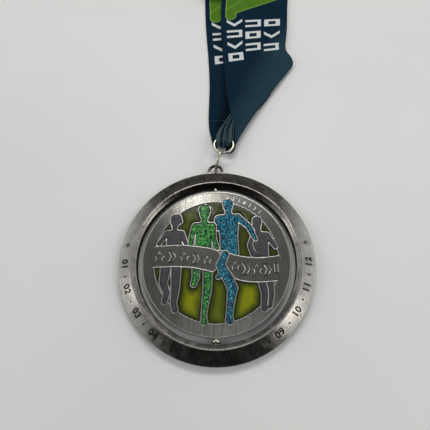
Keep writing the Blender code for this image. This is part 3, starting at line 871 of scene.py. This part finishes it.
def on_ring(degrees, radius, outward=False):
    """The matrix of a mark that lies on the ring's sloping outer face."""
    angle = radians(degrees)
    slope = atan2(RING_HALF - RING_EDGE, RING_R - CREST_R - 0.6)
    out = Vector((cos(angle), sin(angle), 0))
    along = Vector((-sin(angle), cos(angle), 0))
    up = out * -cos(slope) + Vector((0, 0, sin(slope)))
    if outward:
        along = -along
        up = -up
    height = Z_MID / MM + RING_HALF - (radius - CREST_R - 0.6) * tan(slope)
    matrix = Matrix((along, up, along.cross(up))).transposed().to_4x4()
    matrix.translation = out * radius + Vector((0, 0, height))
    return matrix


# ---- ring, lug and pins

def ring_marks():
    """Numerals round the lower half, generic shapes at the top, all cut into the outer face."""
    depth = 0.30
    first, sweep, count = 183, 174, 12
    radius, mark_size = 47.2, 2.3
    cutters = []

    def cut(loop, deep, *where):
        cutters.append((slab([loop], -deep, deep), on_ring(*where)))

    for k in range(count):
        at = on_ring(first + k * sweep / (count - 1), radius)
        cutters.append((numeral(f"{k + 1:02d}", 4.7, depth), at))
        if k < count - 1:
            between = first + (k + 0.5) * sweep / (count - 1)
            cut(sized(arc(0.5, 20), 0.95), depth, between, radius)
    wide = bar(0.26)
    for start, shapes in (
        (126, (chevron(), wide, DIAMOND, chevron())),
        (104, (wide, star(), wide)),
        (84, (DIAMOND, chevron(), wide, wide, chevron(), DIAMOND)),
    ):
        for k, shape in enumerate(shapes):
            cut(sized(shape, mark_size), depth * 0.7, start - 5.6 * k, 47.0, True)
    for degrees in (170.5, 9.5):
        cut(sized(plus(), mark_size), depth, degrees, 47.1)
    return with_material(joined(cutters), 1)


def build_ring(nickel, black):
    middle = Z_MID / MM
    half = [
        (OPENING_R, OPENING_WALL, 0.25), (CREST_R - 0.62, RING_HALF - 0.22, 0.2),
        (CREST_R - 0.30, RING_HALF, 0.22), (CREST_R + 0.30, RING_HALF, 0.22),
        (CREST_R + 0.62, RING_HALF - 0.18, 0.2), (RING_R, RING_EDGE, 0.45),
    ]
    corners = half + [(r, -z, radius) for r, z, radius in reversed(half)]
    ring = turned([(r, z + middle) for r, z in rounded(corners)])
    marks = ring_marks()
    foot = [(6.0, 48.4), (6.0, 50.6), (5.2, 51.0), (4.75, 51.6)]
    outer = [(-6.0, 48.4)] + foot + arc(LUG_R, 64, 0, 33, LUG_CENTRE_Y)
    outer += [(-px, py) for px, py in reversed(foot[1:])]
    hole = [(-LUG_HOLE_R, LUG_HOLE_FLOOR_Y), (LUG_HOLE_R, LUG_HOLE_FLOOR_Y)]
    hole += arc(LUG_HOLE_R, 64, 0, 33, LUG_HOLE_Y)
    lug = slab([outer, hole], middle - 0.78, middle + 0.78, 0.22, 2)
    rim = arc(4.12, 64, -2, 35, LUG_CENTRE_Y)
    paths = [([(px, py, middle + side * 0.72) for px, py in rim], False) for side in (-1, 1)]
    rims = wires(paths, 0.36, 3)
    hole_tool = slab([hole], middle - 5, middle + 5)
    bores = joined([
        (slab([sized(arc(0.5, 24), 2 * (PIN_R + 0.1))], -1, 1.6),
         upright(sign, (0, sign * OPENING_R, middle)))
        for sign in (1, -1)
    ])
    bm = carved(ring, [
        ("UNION", lug), ("UNION", rims), ("DIFFERENCE", hole_tool), ("DIFFERENCE", bores),
        ("DIFFERENCE", marks),
    ])
    mesh = to_mesh("ring_finish", bm, [nickel, black])
    # The opening's inner wall is made black: painted shade between ring and disc, on its patina.
    for face in mesh.polygons:
        x, y, z = (v / MM for v in face.center)
        if hypot(x, y) < OPENING_R + 0.1 and abs(z - middle) < OPENING_WALL - 0.2:
            face.material_index = 1
    attribute = mesh.attributes.new("edge", "FLOAT", "POINT")
    for item, vertex in zip(attribute.data, mesh.vertices):
        item.value = ring_rub_and_shade(vertex.co)
    piece("ring_finish", mesh, "ring", ["ring_frame"])


def ring_rub_and_shade(place):
    """How light the plating is made, from -1, near black, to 1: the crest, rubbed bright with a painted
    highlight, and the outer edge most; painted shade darkens the crest and the inner bevel towards the
    north, and mid-thickness and the lug are darker.
    """
    x, y, z = (v / MM for v in place)
    r = hypot(x, y)
    height = abs(z - Z_MID / MM)
    if r > RING_R + 0.3:
        return -0.72 if height > 0.9 else -0.96
    if height < 0.6:
        return -0.3
    north = max(0.0, y / r) ** 3
    # Painted shade: the inner bevel darkens towards the north.
    if r < CREST_R - 0.45:
        return -0.85 * north
    # The crest is rubbed bright, partly a painted highlight, and takes painted shade towards the north.
    crest = (0.60 - 1.05 * north) * exp(-((r - CREST_R) / 0.40) ** 2)
    if north > 0.3:
        return crest
    return max(crest, 0.25 * exp(-((r - RING_R + 0.25) / 0.25) ** 2))


def build_pins(steel):
    """Each pin has a rounded head, with a small shoulder at each end, in the gap between the disc and the
    ring.
    """
    middle = (DISC_R + OPENING_R) / 2
    half = (OPENING_R - DISC_R) / 2 - 0.3
    neck = PIN_R + 0.15
    tip = PIN_R - 0.1
    for name, sign, head in (("upper_pivot_pin", 1, 1.3), ("lower_pivot_pin", -1, 2.2)):
        outline = [(0, OPENING_R + 1.4), (tip, OPENING_R + 1.4), (PIN_R, OPENING_R + 1.3)]
        outline += [(PIN_R, middle + half)]
        for k in range(13):
            t = pi * (0.5 - k / 12)
            bulge = max(0.0, cos(t)) ** 0.55
            outline.append((neck + (head - PIN_R - 0.15) * bulge, middle + half * sin(t)))
        outline += [(PIN_R, middle - half), (PIN_R, DISC_R - 2.5), (tip, DISC_R - 2.6), (0, DISC_R - 2.6)]
        bm = lathed(outline)
        bmesh.ops.transform(bm, matrix=upright(sign, (0, 0, Z_MID / MM)), verts=bm.verts)
        finished(name + "_finish", bm, [steel], "ring", [name])


# ---- disc and its enamel

def enamel_mesh(loop, field, x, y, bottom, top, dome, both_sides):
    """An enamel fill: crowned on top, with its distance to the wall kept in depth."""
    points = [Vector(p) for p in loop]
    count = len(points)
    spread = 3 if abs(area(loop)) > 40 else 2
    low = np.min(loop, 0)
    high = np.max(loop, 0)
    rows = np.nonzero((x[::spread, 0] > low[0]) & (x[::spread, 0] < high[0]))[0] * spread
    columns = np.nonzero((y[0, ::spread] > low[1]) & (y[0, ::spread] < high[1]))[0] * spread
    grid = np.ix_(rows, columns)
    depths = [0.0] * count
    for i, j in zip(*np.nonzero(inside_loops([loop], x[grid], y[grid]))):
        deep = -field[rows[i], columns[j]]
        if deep > 0.7 * GRID_STEP * spread * 0.6:
            points.append(Vector((x[rows[i], 0], y[0, columns[j]])))
            depths.append(float(deep))
    edges = [(k, (k + 1) % count) for k in range(count)]
    flat, _, faces, origins, _, _ = delaunay_2d_cdt(points, edges, [list(range(count))], 1, 1e-6)
    bm = bmesh.new()
    layer = bm.verts.layers.float.new("depth")
    levels = []
    for direction, height in ((1, top), (-1, bottom)):
        row = []
        for point, origin in zip(flat, origins):
            deep = depths[origin[0]] if origin else 0.0
            rise = dome * (1 - exp(-deep / 0.9)) if direction == 1 or both_sides else 0.0
            vertex = bm.verts.new((point.x, point.y, height + direction * rise))
            vertex[layer] = deep
            row.append(vertex)
        levels.append(row)
    for face in faces:
        bm.faces.new([levels[0][k] for k in face])
        bm.faces.new([levels[1][k] for k in reversed(face)])
    below = dict(zip(*levels))
    for a, b in [e.verts for e in bm.edges if e.is_boundary and e.verts[0] in below]:
        bm.faces.new((a, b, below[b], below[a]))
    loose = [v for v in bm.verts if not v.link_faces]
    bmesh.ops.delete(bm, geom=loose, context="VERTS")
    return outward(bm)


def nearest_node(loop, prefix, taken):
    """The CAD fill that an outline stands for, which is then taken."""
    own = np.concatenate([np.min(loop, 0), np.max(loop, 0)])

    def gap(name):
        box = [(v - middle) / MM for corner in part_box(name) for v, middle in zip(corner[:2], MEDAL)]
        return float(np.abs(np.array(box) - own).max())

    free = [name for name in frame["nodes"] if name.startswith(prefix) and name not in taken]
    taken.add(min(free, key=gap))
    return min(free, key=gap)


def beside(field, width=RIDGE):
    """The band that lies just outside an area's wall."""
    return np.maximum(0.02 - field, field - width)


def build_disc(brushed, bright, black, fills):
    middle = Z_MID / MM
    face = middle + FIELD
    floor = middle + POCKET_FLOOR
    span = np.arange(-36, 36 + GRID_STEP, GRID_STEP)
    x, y = np.meshgrid(span, span, indexing="ij")
    fields = artwork(x, y)
    panes = fields["panes"]
    nearest = np.minimum(np.minimum.reduce([fields[name] for name in FIGURES]), panes)
    circle = arc(DISC_R - 0.3, 360)
    plate = joined([
        slab([circle] + outlines_of(panes, x, y), middle - FIELD, floor, 0.05),
        slab([circle] + outlines_of(nearest, x, y), floor - 0.1, face, 0.04),
    ])
    rim = turned([(r, z + middle) for r, z in rounded([
        (DISC_R - RIM_WIDTH, RIM_HALF, 0.15), (DISC_R, RIM_HALF, 0.3), (DISC_R, -RIM_HALF, 0.3),
        (DISC_R - RIM_WIDTH, -RIM_HALF, 0.15),
    ], 3)])
    finished("disc_plate", plate, [brushed], "disc", ["disc_body"])
    finished("disc_rim", rim, [bright], "disc")

    banner = np.maximum(np.abs(fields["banner"] - 0.1) - 0.2, np.hypot(x, y) - WINDOW_R - 1.2)
    banner = np.maximum(banner, 0.02 - nearest)
    front = outlines_of(np.minimum(beside(nearest), banner), x, y)
    lines = joined([
        slab(front, face - 0.15, face + 0.20, 0.07, 2),
        slab(outlines_of(beside(panes), x, y), middle - FIELD - 0.18, middle - FIELD + 0.15, 0.07, 2),
    ])
    finished("disc_outlines", lines, [bright], "disc")
    build_disc_marks(face, [bright, black, brushed])

    taken = set()

    def fill(label, prefix, suffix, slot, *shape):
        for loop in outlines_of(fields[label], x, y, 1.2, 0.012):
            node = nearest_node(loop, prefix, taken)
            bm = enamel_mesh(loop, fields[label], x, y, *shape)
            finished(node + suffix, bm, [fills[slot]], "disc", [node], degrees=50)

    fill("panes", "enamel_pane", "_glass", "lime_enamel", middle - 0.98, middle + 0.98, 0.14, True)
    for label, slot in FIGURES.items():
        fill(label, f"enamel_{label}_runner", "_fill", slot, floor - 0.02, face - 0.12, 0.12, False)


def build_disc_marks(field, materials):
    """Raised wire stars and chevrons on the banner, hair and arm lines, and small marks up the rim."""
    paths = []
    islands = []
    shapes = {"star": star(0.5), "chevron": chevron(0.40), "bar": bar(0.42)}
    for cx, cy, size, kind in (
        (-29.4, 1.2, 5.4, "star"), (-22.8, 1.5, 5.0, "chevron"), (-16.3, 1.0, 4.8, "star"),
        (-10.2, 0.2, 4.4, "chevron"), (-4.4, -0.9, 4.2, "star"), (9.9, -4.2, 4.6, "star"),
        (15.4, -5.4, 5.0, "chevron"), (21.0, -6.0, 5.2, "star"), (26.2, -6.0, 4.6, "chevron"),
        (30.6, -5.3, 4.0, "bar"),
    ):
        wide = size * 1.12
        paths.append(([(cx + px, cy + py, field + 0.08) for px, py in sized(shapes[kind], wide)], True))
        # Each mark sits on a wider black slab, painted shade round its outline, and a smaller raised brushed
        # island inside.
        for extra, top, index in ((1.1, 0.03, 1), (-0.3, 0.12, 2)):
            island = slab([sized(shapes[kind], wide + extra)], -0.1, top)
            islands.append((with_material(island, index), Matrix.Translation((cx, cy, field))))
    hair_and_hands = (
        [(-10.3, 26.4), (-10.1, 28.4), (-8.4, 30.2), (-6.0, 30.9)],
        [(-4.8, 30.6), (-2.6, 29.5), (-1.5, 27.6), (-2.6, 25.6)],
        [(-1.8, 24.2), (0.0, 26.0), (3.6, 26.9)],
        [(11.0, 26.4), (13.8, 26.2), (15.6, 24.5), (17.3, 21.4)],
        [(-26.1, 17.0), (-23.9, 17.5), (-22.9, 16.3), (-20.6, 17.4), (-18.6, 17.0)],
        [(19.4, 17.4), (20.6, 14.9), (22.2, 14.4)],
    )
    creases = (
        [(25.2, -12.6), (25.9, -17.5), (25.0, -23.8)], [(-22.9, -5.0), (-23.2, -9.0)],
        [(20.4, 11.2), (19.4, 7.0), (20.9, 3.2), (24.6, 1.6)], [(-18.4, 8.8), (-25.6, 8.4)],
    )
    for chains, lift in ((hair_and_hands, 0.10), (creases, -0.02)):
        for chain in chains:
            paths.append(([(px, py, field + lift) for px, py in smooth_edge(chain, 6)], False))
    small = []
    narrow = bar(0.24)
    pattern = (chevron(0.3), narrow, narrow, DIAMOND, narrow, chevron(0.3), narrow)
    for first, last in ((125, 98), (79, 47)):
        for k, shape in enumerate(pattern):
            angle = radians(first + (last - first) * k / 6)
            turn = Matrix.Translation((RIM_MARKS_R * cos(angle), RIM_MARKS_R * sin(angle), field))
            turn = turn @ Matrix.Rotation(angle - pi / 2, 4, "Z")
            small.append((slab([sized(shape, 2.4)], -0.1, 0.14, 0.05), turn))
    whole = joined([wires(paths, 0.27, 2)] + small + islands)
    finished("disc_raised_marks", whole, materials, "disc")


# ---- wire rings

def build_wire_ring(name, node, body, major, steel, normal=(0, 0, 1)):
    """A jump ring bent from round wire, with its two cut ends almost touching."""
    low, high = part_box(node)
    basis = Matrix.Identity(3)
    axis = Vector(normal).normalized()
    if axis.z < 1:
        side = axis.cross(Vector((0, 0, 1))).normalized()
        basis = Matrix((side, axis.cross(side), axis)).transposed()
    gap = 0.09 / major
    steps = 144
    points = []
    for k in range(steps + 1):
        angle = radians(70) + gap / 2 + (2 * pi - gap) * k / steps
        points.append(tuple(basis @ Vector((major * cos(angle), major * sin(angle), 0))))
    bm = wires([(points, False)], WIRE_R, 6)
    finished(name, bm, [steel], body, [node], (low + high) / 2)


# ---- ribbon

def catmull(rows, counts):
    """Smooth stations through the control rows; counts are the steps to the next row."""
    rows = np.array(rows, float)
    rows = np.vstack([2 * rows[0] - rows[1], rows, 2 * rows[-1] - rows[-2]])
    out = []
    for count, p0, p1, p2, p3 in zip(counts, rows, rows[1:], rows[2:], rows[3:]):
        d0, d1, d2 = (max(np.linalg.norm((b - a)[:6]), 1e-6) for a, b in ((p0, p1), (p1, p2), (p2, p3)))
        m1 = ((p1 - p0) / d0 * d1 + (p2 - p1) / d1 * d0) / (d0 + d1)
        m2 = ((p2 - p1) / d1 * d2 + (p3 - p2) / d2 * d1) / (d1 + d2)
        for t in (j / count for j in range(count)):
            out.append(
                (2 * t**3 - 3 * t**2 + 1) * p1 + (t**3 - 2 * t**2 + t) * m1 * d1
                + (3 * t**2 - 2 * t**3) * p2 + (t**3 - t**2) * m2 * d1
            )
    return np.array(out + [rows[-2]])


def stack_rows():
    """The spare length: back along the table, over the top, then down to and fro."""
    rows = []
    table = 0.34
    top = STACK_FIRST_Z + (STACK_RUNS - 1) * STACK_PITCH
    left0, left1 = -7.8, 5.3

    def add(share, y, z):
        left = left0 + (left1 - left0) * share
        rows.append((left, y, z, left + RIBBON_WIDTH, y, z, 1))

    for y in np.linspace(211, STACK_BACK - 5.4, 9):
        add(0.02, y, table + 0.12 * sin(y * 0.35))
    radius = (top - table) / 2
    for k in range(1, 14):
        angle = pi * k / 14
        add(0.05, STACK_BACK - radius + radius * sin(angle), table + radius * (1 - cos(angle)))
    for run in range(STACK_RUNS):
        z = top - run * STACK_PITCH
        sign = 1 if run % 2 == 1 else -1
        front = STACK_FRONT + 0.7 + 0.5 * sin(1.7 * run)
        back = STACK_BACK - radius - 0.3 if run == 0 else STACK_BACK - 1.6 + 0.6 * sin(2.3 * run)
        share = 0.08 + 0.9 * run / (STACK_RUNS - 1)
        start, end = (front, back) if sign == 1 else (back, front)
        last = run == STACK_RUNS - 1
        for t in np.linspace(0, 1, 9)[:8 if last else 9]:
            y = start + (end - start) * t
            add(share, y, z + 0.10 * sin(0.33 * y + run))
        for k in range(1, 1 if last else 6):
            angle = pi * k / 6
            y = end + sign * STACK_PITCH / 2 * sin(angle) * 1.2
            add(share, y, z - STACK_PITCH / 2 * (1 - cos(angle)))
    return rows


def ribbon_stations():
    """Stations along the band, and where its printed lengths end.

    A row is left x, y, z, right x, y, z, the steps to the next row, and any pleat height and bow.
    """
    under = [
        (0.1, 69.2, 3, 8.4, 69.4, 3.4, 4, 0.8),
        (-1.2, 72, 2.2, 9.2, 72.4, 2.6, 5, 0.8),
        (-2.6, 78, 1.5, 12, 79.5, 1.7, 6, 0.7),
        (-3.9, 85.5, 1.2, 17, 87, 1.2, 5, 0.45),
        (-4.2, 89, 0.85, 21, 91, 0.9, 5, 0.30),
        (-4.3, 93, 0.95, 25.5, 96, 0.8, 8, 0.25),
        (-4.1, 104, 0.55, 34.5, 108, 0.5, 8, 0.15),
        (-3.8, 121, 0.42, 41.5, 124, 0.4, 12, 0.05),
        (-4.7, 145, 0.40, 43.6, 146, 0.4, 12),
        (-6.2, 168, 0.36, 43.2, 168, 0.36, 12),
        (-7.2, 190, 0.34, 42.4, 190, 0.34, 10),
    ]
    over = [
        (5.4, 205, 2.1, 55.3, 205, 2.1, 8),
        (4.7, 192, 2.05, 53.8, 190.5, 2.1, 12),
        (4.4, 173.5, 2, 51.6, 168.5, 2.15, 12),
        (5.2, 147.5, 2.1, 49, 150.5, 2.5, 10),
        (6.4, 126, 2.3, 49.6, 145.2, 2.9, 9),
        (8, 106, 3.4, 51.6, 141, 3, 8, 0, 0.6),
        (9.9, 90, 5.8, 52.6, 137.4, 2.8, 7, 0, 1.3),
        (11.9, 76, 6.2, 52.7, 135.4, 2.6, 6, 0, 2),
        (11.9, 69, 5.4, 52.5, 134.3, 2.3, 4, 0, 2.4),
        (11.4, 66.2, 4.4, 52.2, 133.4, 1.9, 4, 0, 2.5),
        (9.4, 64.7, 3.2, 51.8, 133.2, 1.6, 3, 0, 2.5),
        (6.6, 65.2, 2.3, 51.4, 133, 1.45, 3, 0, 2.5),
        (6.2, 67.4, 1.9, 50.2, 132.6, 1.35, 5, 0, 2.2),
        (8.6, 71.5, 1.7, 44, 130, 1.3, 6, 0.05, 1),
        (11.6, 77.5, 1.8, 33, 122, 1.4, 7, 0.25),
        (14, 83.5, 2.3, 23, 112, 1.9, 8, 0.6),
        (13.9, 87.6, 3.3, 13.2, 101, 2.9, 8, 0.95),
        (12.2, 85.6, 5.4, 8.2, 91, 4.6, 8, 1.2),
        (11.2, 80.8, 7.6, 4.6, 83.4, 6.8, 8, 1.35),
        (10.9, 76.2, 8.9, 2, 77.6, 8.7, 7, 1.3),
        (10.9, 72, 9, 0.6, 72.4, 8.8, 6, 1.1),
        (10.3, 69.4, 7.9, 0.5, 69.6, 7.9, 5, 0.95),
        (9.6, 68.3, 5.9, 0.8, 68.4, 5.9, 5, 0.75),
        (9.5, 69.6, 4.1, 0.8, 69.2, 4, 6, 0.6),
        (9.8, 73.9, 1.9, 0, 73.4, 1.8, 6, 0.35),
        (10, 81, 0.55, -1.2, 80, 0.55, 6, 0.1),
        (10.4, 88, 0.32, -2.4, 87, 0.32, 1),
    ]
    fold = 12
    stack = stack_rows()
    under_end = sum(row[6] for row in under)
    over_start = under_end + len(stack)
    printed = (under_end, over_start, over_start + sum(row[6] for row in over[:fold]))
    rows = under + stack + over
    return catmull([(*row[:6], *row[7:], 0, 0)[:8] for row in rows], [row[6] for row in rows[:-1]]), printed


def unit(vectors):
    return vectors / np.maximum(np.linalg.norm(vectors, axis=1, keepdims=True), 1e-9)


def run_length(points):
    """How far along an edge each of its points lies."""
    return np.concatenate([[0], np.cumsum(np.linalg.norm(np.diff(points, axis=0), axis=1))])


def build_ribbon():
    stations, (under_end, over_start, over_end) = ribbon_stations()
    across = 72
    t = np.linspace(0, 1, across + 1)
    left = stations[:, None, 0:3]
    right = stations[:, None, 3:6]
    points = left + (right - left) * t[None, :, None]
    pleat = np.maximum(stations[:, 6], 0)[:, None]
    wave = np.sin(2 * pi * (3.3 * t + 0.09 * np.sin(9 * t + 0.7)))[None, :]
    wave = wave * (0.75 + 0.25 * np.sin(2 * pi * (1.7 * t + 0.2)))[None, :]
    side = stations[:, 3:6] - stations[:, 0:3]
    normal = unit(np.cross(np.gradient(points[:, across // 2], axis=0), side))
    points = points + normal[:, None, :] * (pleat * wave)[:, :, None]
    inwards = unit(np.cross((0.0, 0.0, 1.0), side))
    bow = np.sin(pi * t**0.62)[None, :] * stations[:, 7][:, None]
    points = points + inwards[:, None, :] * bow[:, :, None]
    points[:, :, 2] = np.maximum(points[:, :, 2], CLOTH_T / 2 + 0.06)
    left_run = run_length(points[:, 0])
    right_run = run_length(points[:, -1])
    along = left_run[:, None] * (1 - t)[None, :] + right_run[:, None] * t[None, :]
    bm = bmesh.new()
    uv = bm.loops.layers.uv.new("cloth")
    design = bm.verts.layers.float.new("design")
    shown = bm.verts.layers.float.new("face")
    grid = [[bm.verts.new(p) for p in row] for row in points]
    for row in grid[over_end:]:
        for vertex in row:
            vertex[shown] = 2.0
    for i in list(range(under_end)) + list(range(over_start, over_end)):
        for vertex, u in zip(grid[i], t):
            skew = PRINT_SKEW * max(0.0, min(1.0, (PRINT_TOP - vertex.co.y) / PRINT_FADE))
            vertex[design] = vertex.co.y - skew * (u * RIBBON_WIDTH - 10.0)
            vertex[shown] = 1.0 if i >= over_start else 0.0
    for i in range(len(grid) - 1):
        for j in range(across):
            corners = ((i, j), (i, j + 1), (i + 1, j + 1), (i + 1, j))
            face = bm.faces.new([grid[a][b] for a, b in corners])
            for loop, (a, b) in zip(face.loops, corners):
                loop[uv].uv = (t[b] * RIBBON_WIDTH * MM, along[a, b] * MM)
    obj = placed("working_copy", to_mesh("neck_ribbon_flat", bm, [satin()], 180))
    solid = obj.modifiers.new("Thickness", "SOLIDIFY")
    with_settings(solid, thickness=CLOTH_T * MM, offset=0, use_even_offset=False, use_rim=True)
    mesh = smoothed(final_mesh(obj), 60)
    mesh.name = "neck_ribbon"
    ribbon = piece("neck_ribbon", mesh, "ribbon", [
        "ribbon_gathered_loop", "ribbon_under_strand", "ribbon_over_strand", "ribbon_folded_length",
    ])
    return ribbon


def build_seam(ribbon, thread):
    """A row of lock stitches that lies on the cloth."""
    mesh = ribbon.data
    faces = [tuple(p.vertices) for p in mesh.polygons]
    tree = BVHTree.FromPolygons([v.co / MM for v in mesh.vertices], faces)
    paths = []
    for k in range(15):
        points = []
        for j in range(6):
            px = -3.6 + 0.86 * k + 0.62 * j / 5
            py = 90.6 - 0.03 * px
            hit = tree.ray_cast(Vector((px, py, 30)), Vector((0, 0, -1)))[0]
            if hit is None:
                break
            points.append((px, py, hit.z + (0.11 if 0 < j < 5 else -0.06)))
        heights = [p[2] for p in points]
        if len(points) == 6 and max(heights) - min(heights) < 0.9:
            paths.append((points, False))
    bm = wires(paths, 0.13, 2)
    finished("seam_stitches", bm, [thread], "ribbon", ["ribbon_seam_stitching"])


# ---- stage, light and camera

def area_light(name, direction, size, power, colour):
    """A rectangular lamp that faces the medal."""
    distance = 0.9
    data = with_settings(
        bpy.data.lights.new(name, "AREA"), shape="RECTANGLE", size=size[0], size_y=size[1], energy=power,
        color=colour,
    )
    light = placed(name, data)
    away = Vector(direction).normalized()
    light.location = MEDAL + away * distance
    light.rotation_euler = away.to_track_quat("Z", "Y").to_euler()


def build_stage():
    bm = bmesh.new()
    bmesh.ops.create_grid(bm, x_segments=8, y_segments=8, size=2.5)
    mesh = mesh_of("table_top", bm)
    r = Recipe("pale_table", Roughness=0.55)
    r.put(Base_Color=r.noise(6, 4).blend(0.3, 0.7, (0.785, 0.792, 0.772), (0.830, 0.837, 0.817)))
    mesh.materials.append(r.owner)
    floor = placed("table_top", mesh)
    floor.location.z = -0.00005

    world = Recipe("soft_studio", bpy.data.worlds, "Background", Color=(0.96, 0.98, 1.0, 1.0))
    bpy.context.scene.world = world.owner
    parts = world.node("SeparateXYZ", {0: world.node("TexCoord").part("Generated")})
    glows = [
        parts.part(axis).span(*ends, interpolation_type="SMOOTHSTEP") for axis, ends in (
            (1, (-0.42, 0.08, 0.026, 0.25)), (1, (0.35, 0.65, 0.0, -0.10)), (0, (0.45, 0.85, 0.0, 1.15)),
            (0, (-0.45, -0.85, 0.0, 0.92)), (2, (0.978, 0.999, 0.0, 0.40)),
        )
    ]
    world.put(Strength=sum(glows[1:], glows[0]))

    warm = (1.0, 0.985, 0.96)
    area_light("key_softbox", (0.06, 0.615, 0.786), (0.62, 0.20), 2.7, warm)
    area_light("ceiling_lamp", (-0.105, 0.45, 0.89), (0.10, 0.09), 0.20, warm)
    area_light("right_softbox", (0.62, -0.25, 0.745), (0.26, 0.16), 0.80, (1.0, 0.98, 0.95))
    area_light("left_softbox", (-0.74, -0.06, 0.67), (0.13, 0.09), 0.36, (0.99, 0.985, 0.97))


def build_camera():
    data = bpy.data.cameras.new("photo_view")
    with_settings(data, lens=27.04, shift_y=0.002, sensor_width=36.0, clip_start=0.01)
    camera = placed("photo_view", data)
    turn = (Matrix.Rotation(radians(-1), 4, "Z") @ Matrix.Rotation(radians(22.5), 4, "X")
            @ Matrix.Rotation(radians(2.644), 4, "Y") @ Matrix.Rotation(-0.004, 4, "Z"))
    camera.matrix_world = Matrix.Translation((0.004357, -0.148450, 0.166883)) @ turn
    bpy.context.scene.camera = camera


bpy.context.scene.view_settings.view_transform = "Standard"
build_camera()
build_stage()
NICKEL = antique_nickel()
# Black for the ring's recessed marks, which is patina; also painted shade on the opening wall and round the
# banner marks.
BLACK = grained(
    "recess_patina", 2600, 3, 0.4, (0.014, 0.012, 0.010), (0.040, 0.036, 0.031), (0.00003, 0.4),
    Roughness=0.65, Specular_IOR_Level=0.06,
)
BRUSHED = brushed_nickel("brushed_nickel_face", (0.148, 0.145, 0.128), (0.325, 0.319, 0.290), 0.17)
BRIGHT = brushed_nickel("raised_nickel_edge", (0.30, 0.297, 0.28), (0.52, 0.515, 0.49), 0.30)
STEEL = bright_nickel()
FILLS = {
    "lime_enamel": lime_enamel(),
    "green_glitter": glitter(
        "green_glitter_enamel", (0.002, 0.030, 0.010), (0.006, 0.225, 0.050), (0.20, 0.72, 0.13),
    ),
    "blue_glitter": glitter(
        "blue_glitter_enamel", (0.001, 0.016, 0.055), (0.001, 0.125, 0.215), (0.08, 0.54, 0.68),
    ),
    "grey_enamel": grey_enamel(),
}
build_ring(NICKEL, BLACK)
build_pins(STEEL)
build_disc(BRUSHED, BRIGHT, BLACK, FILLS)
LINK_AXIS = next(joint["axis"] for joint in frame["joints"] if joint["name"] == "link_swing")
build_wire_ring("link_ring_wire", "link_ring", "link", LINK_R, STEEL, LINK_AXIS)
build_wire_ring("ribbon_ring_wire", "ribbon_ring", "ribbon_ring", RIBBON_RING_R, STEEL)
THREAD = grained(
    "teal_sewing_thread", 5200, 2, 0.3, (0.012, 0.032, 0.046), (0.045, 0.090, 0.115), (0.00005, 0.6),
    Roughness=0.7, Sheen_Weight=0.4,
)
build_seam(build_ribbon(), THREAD)
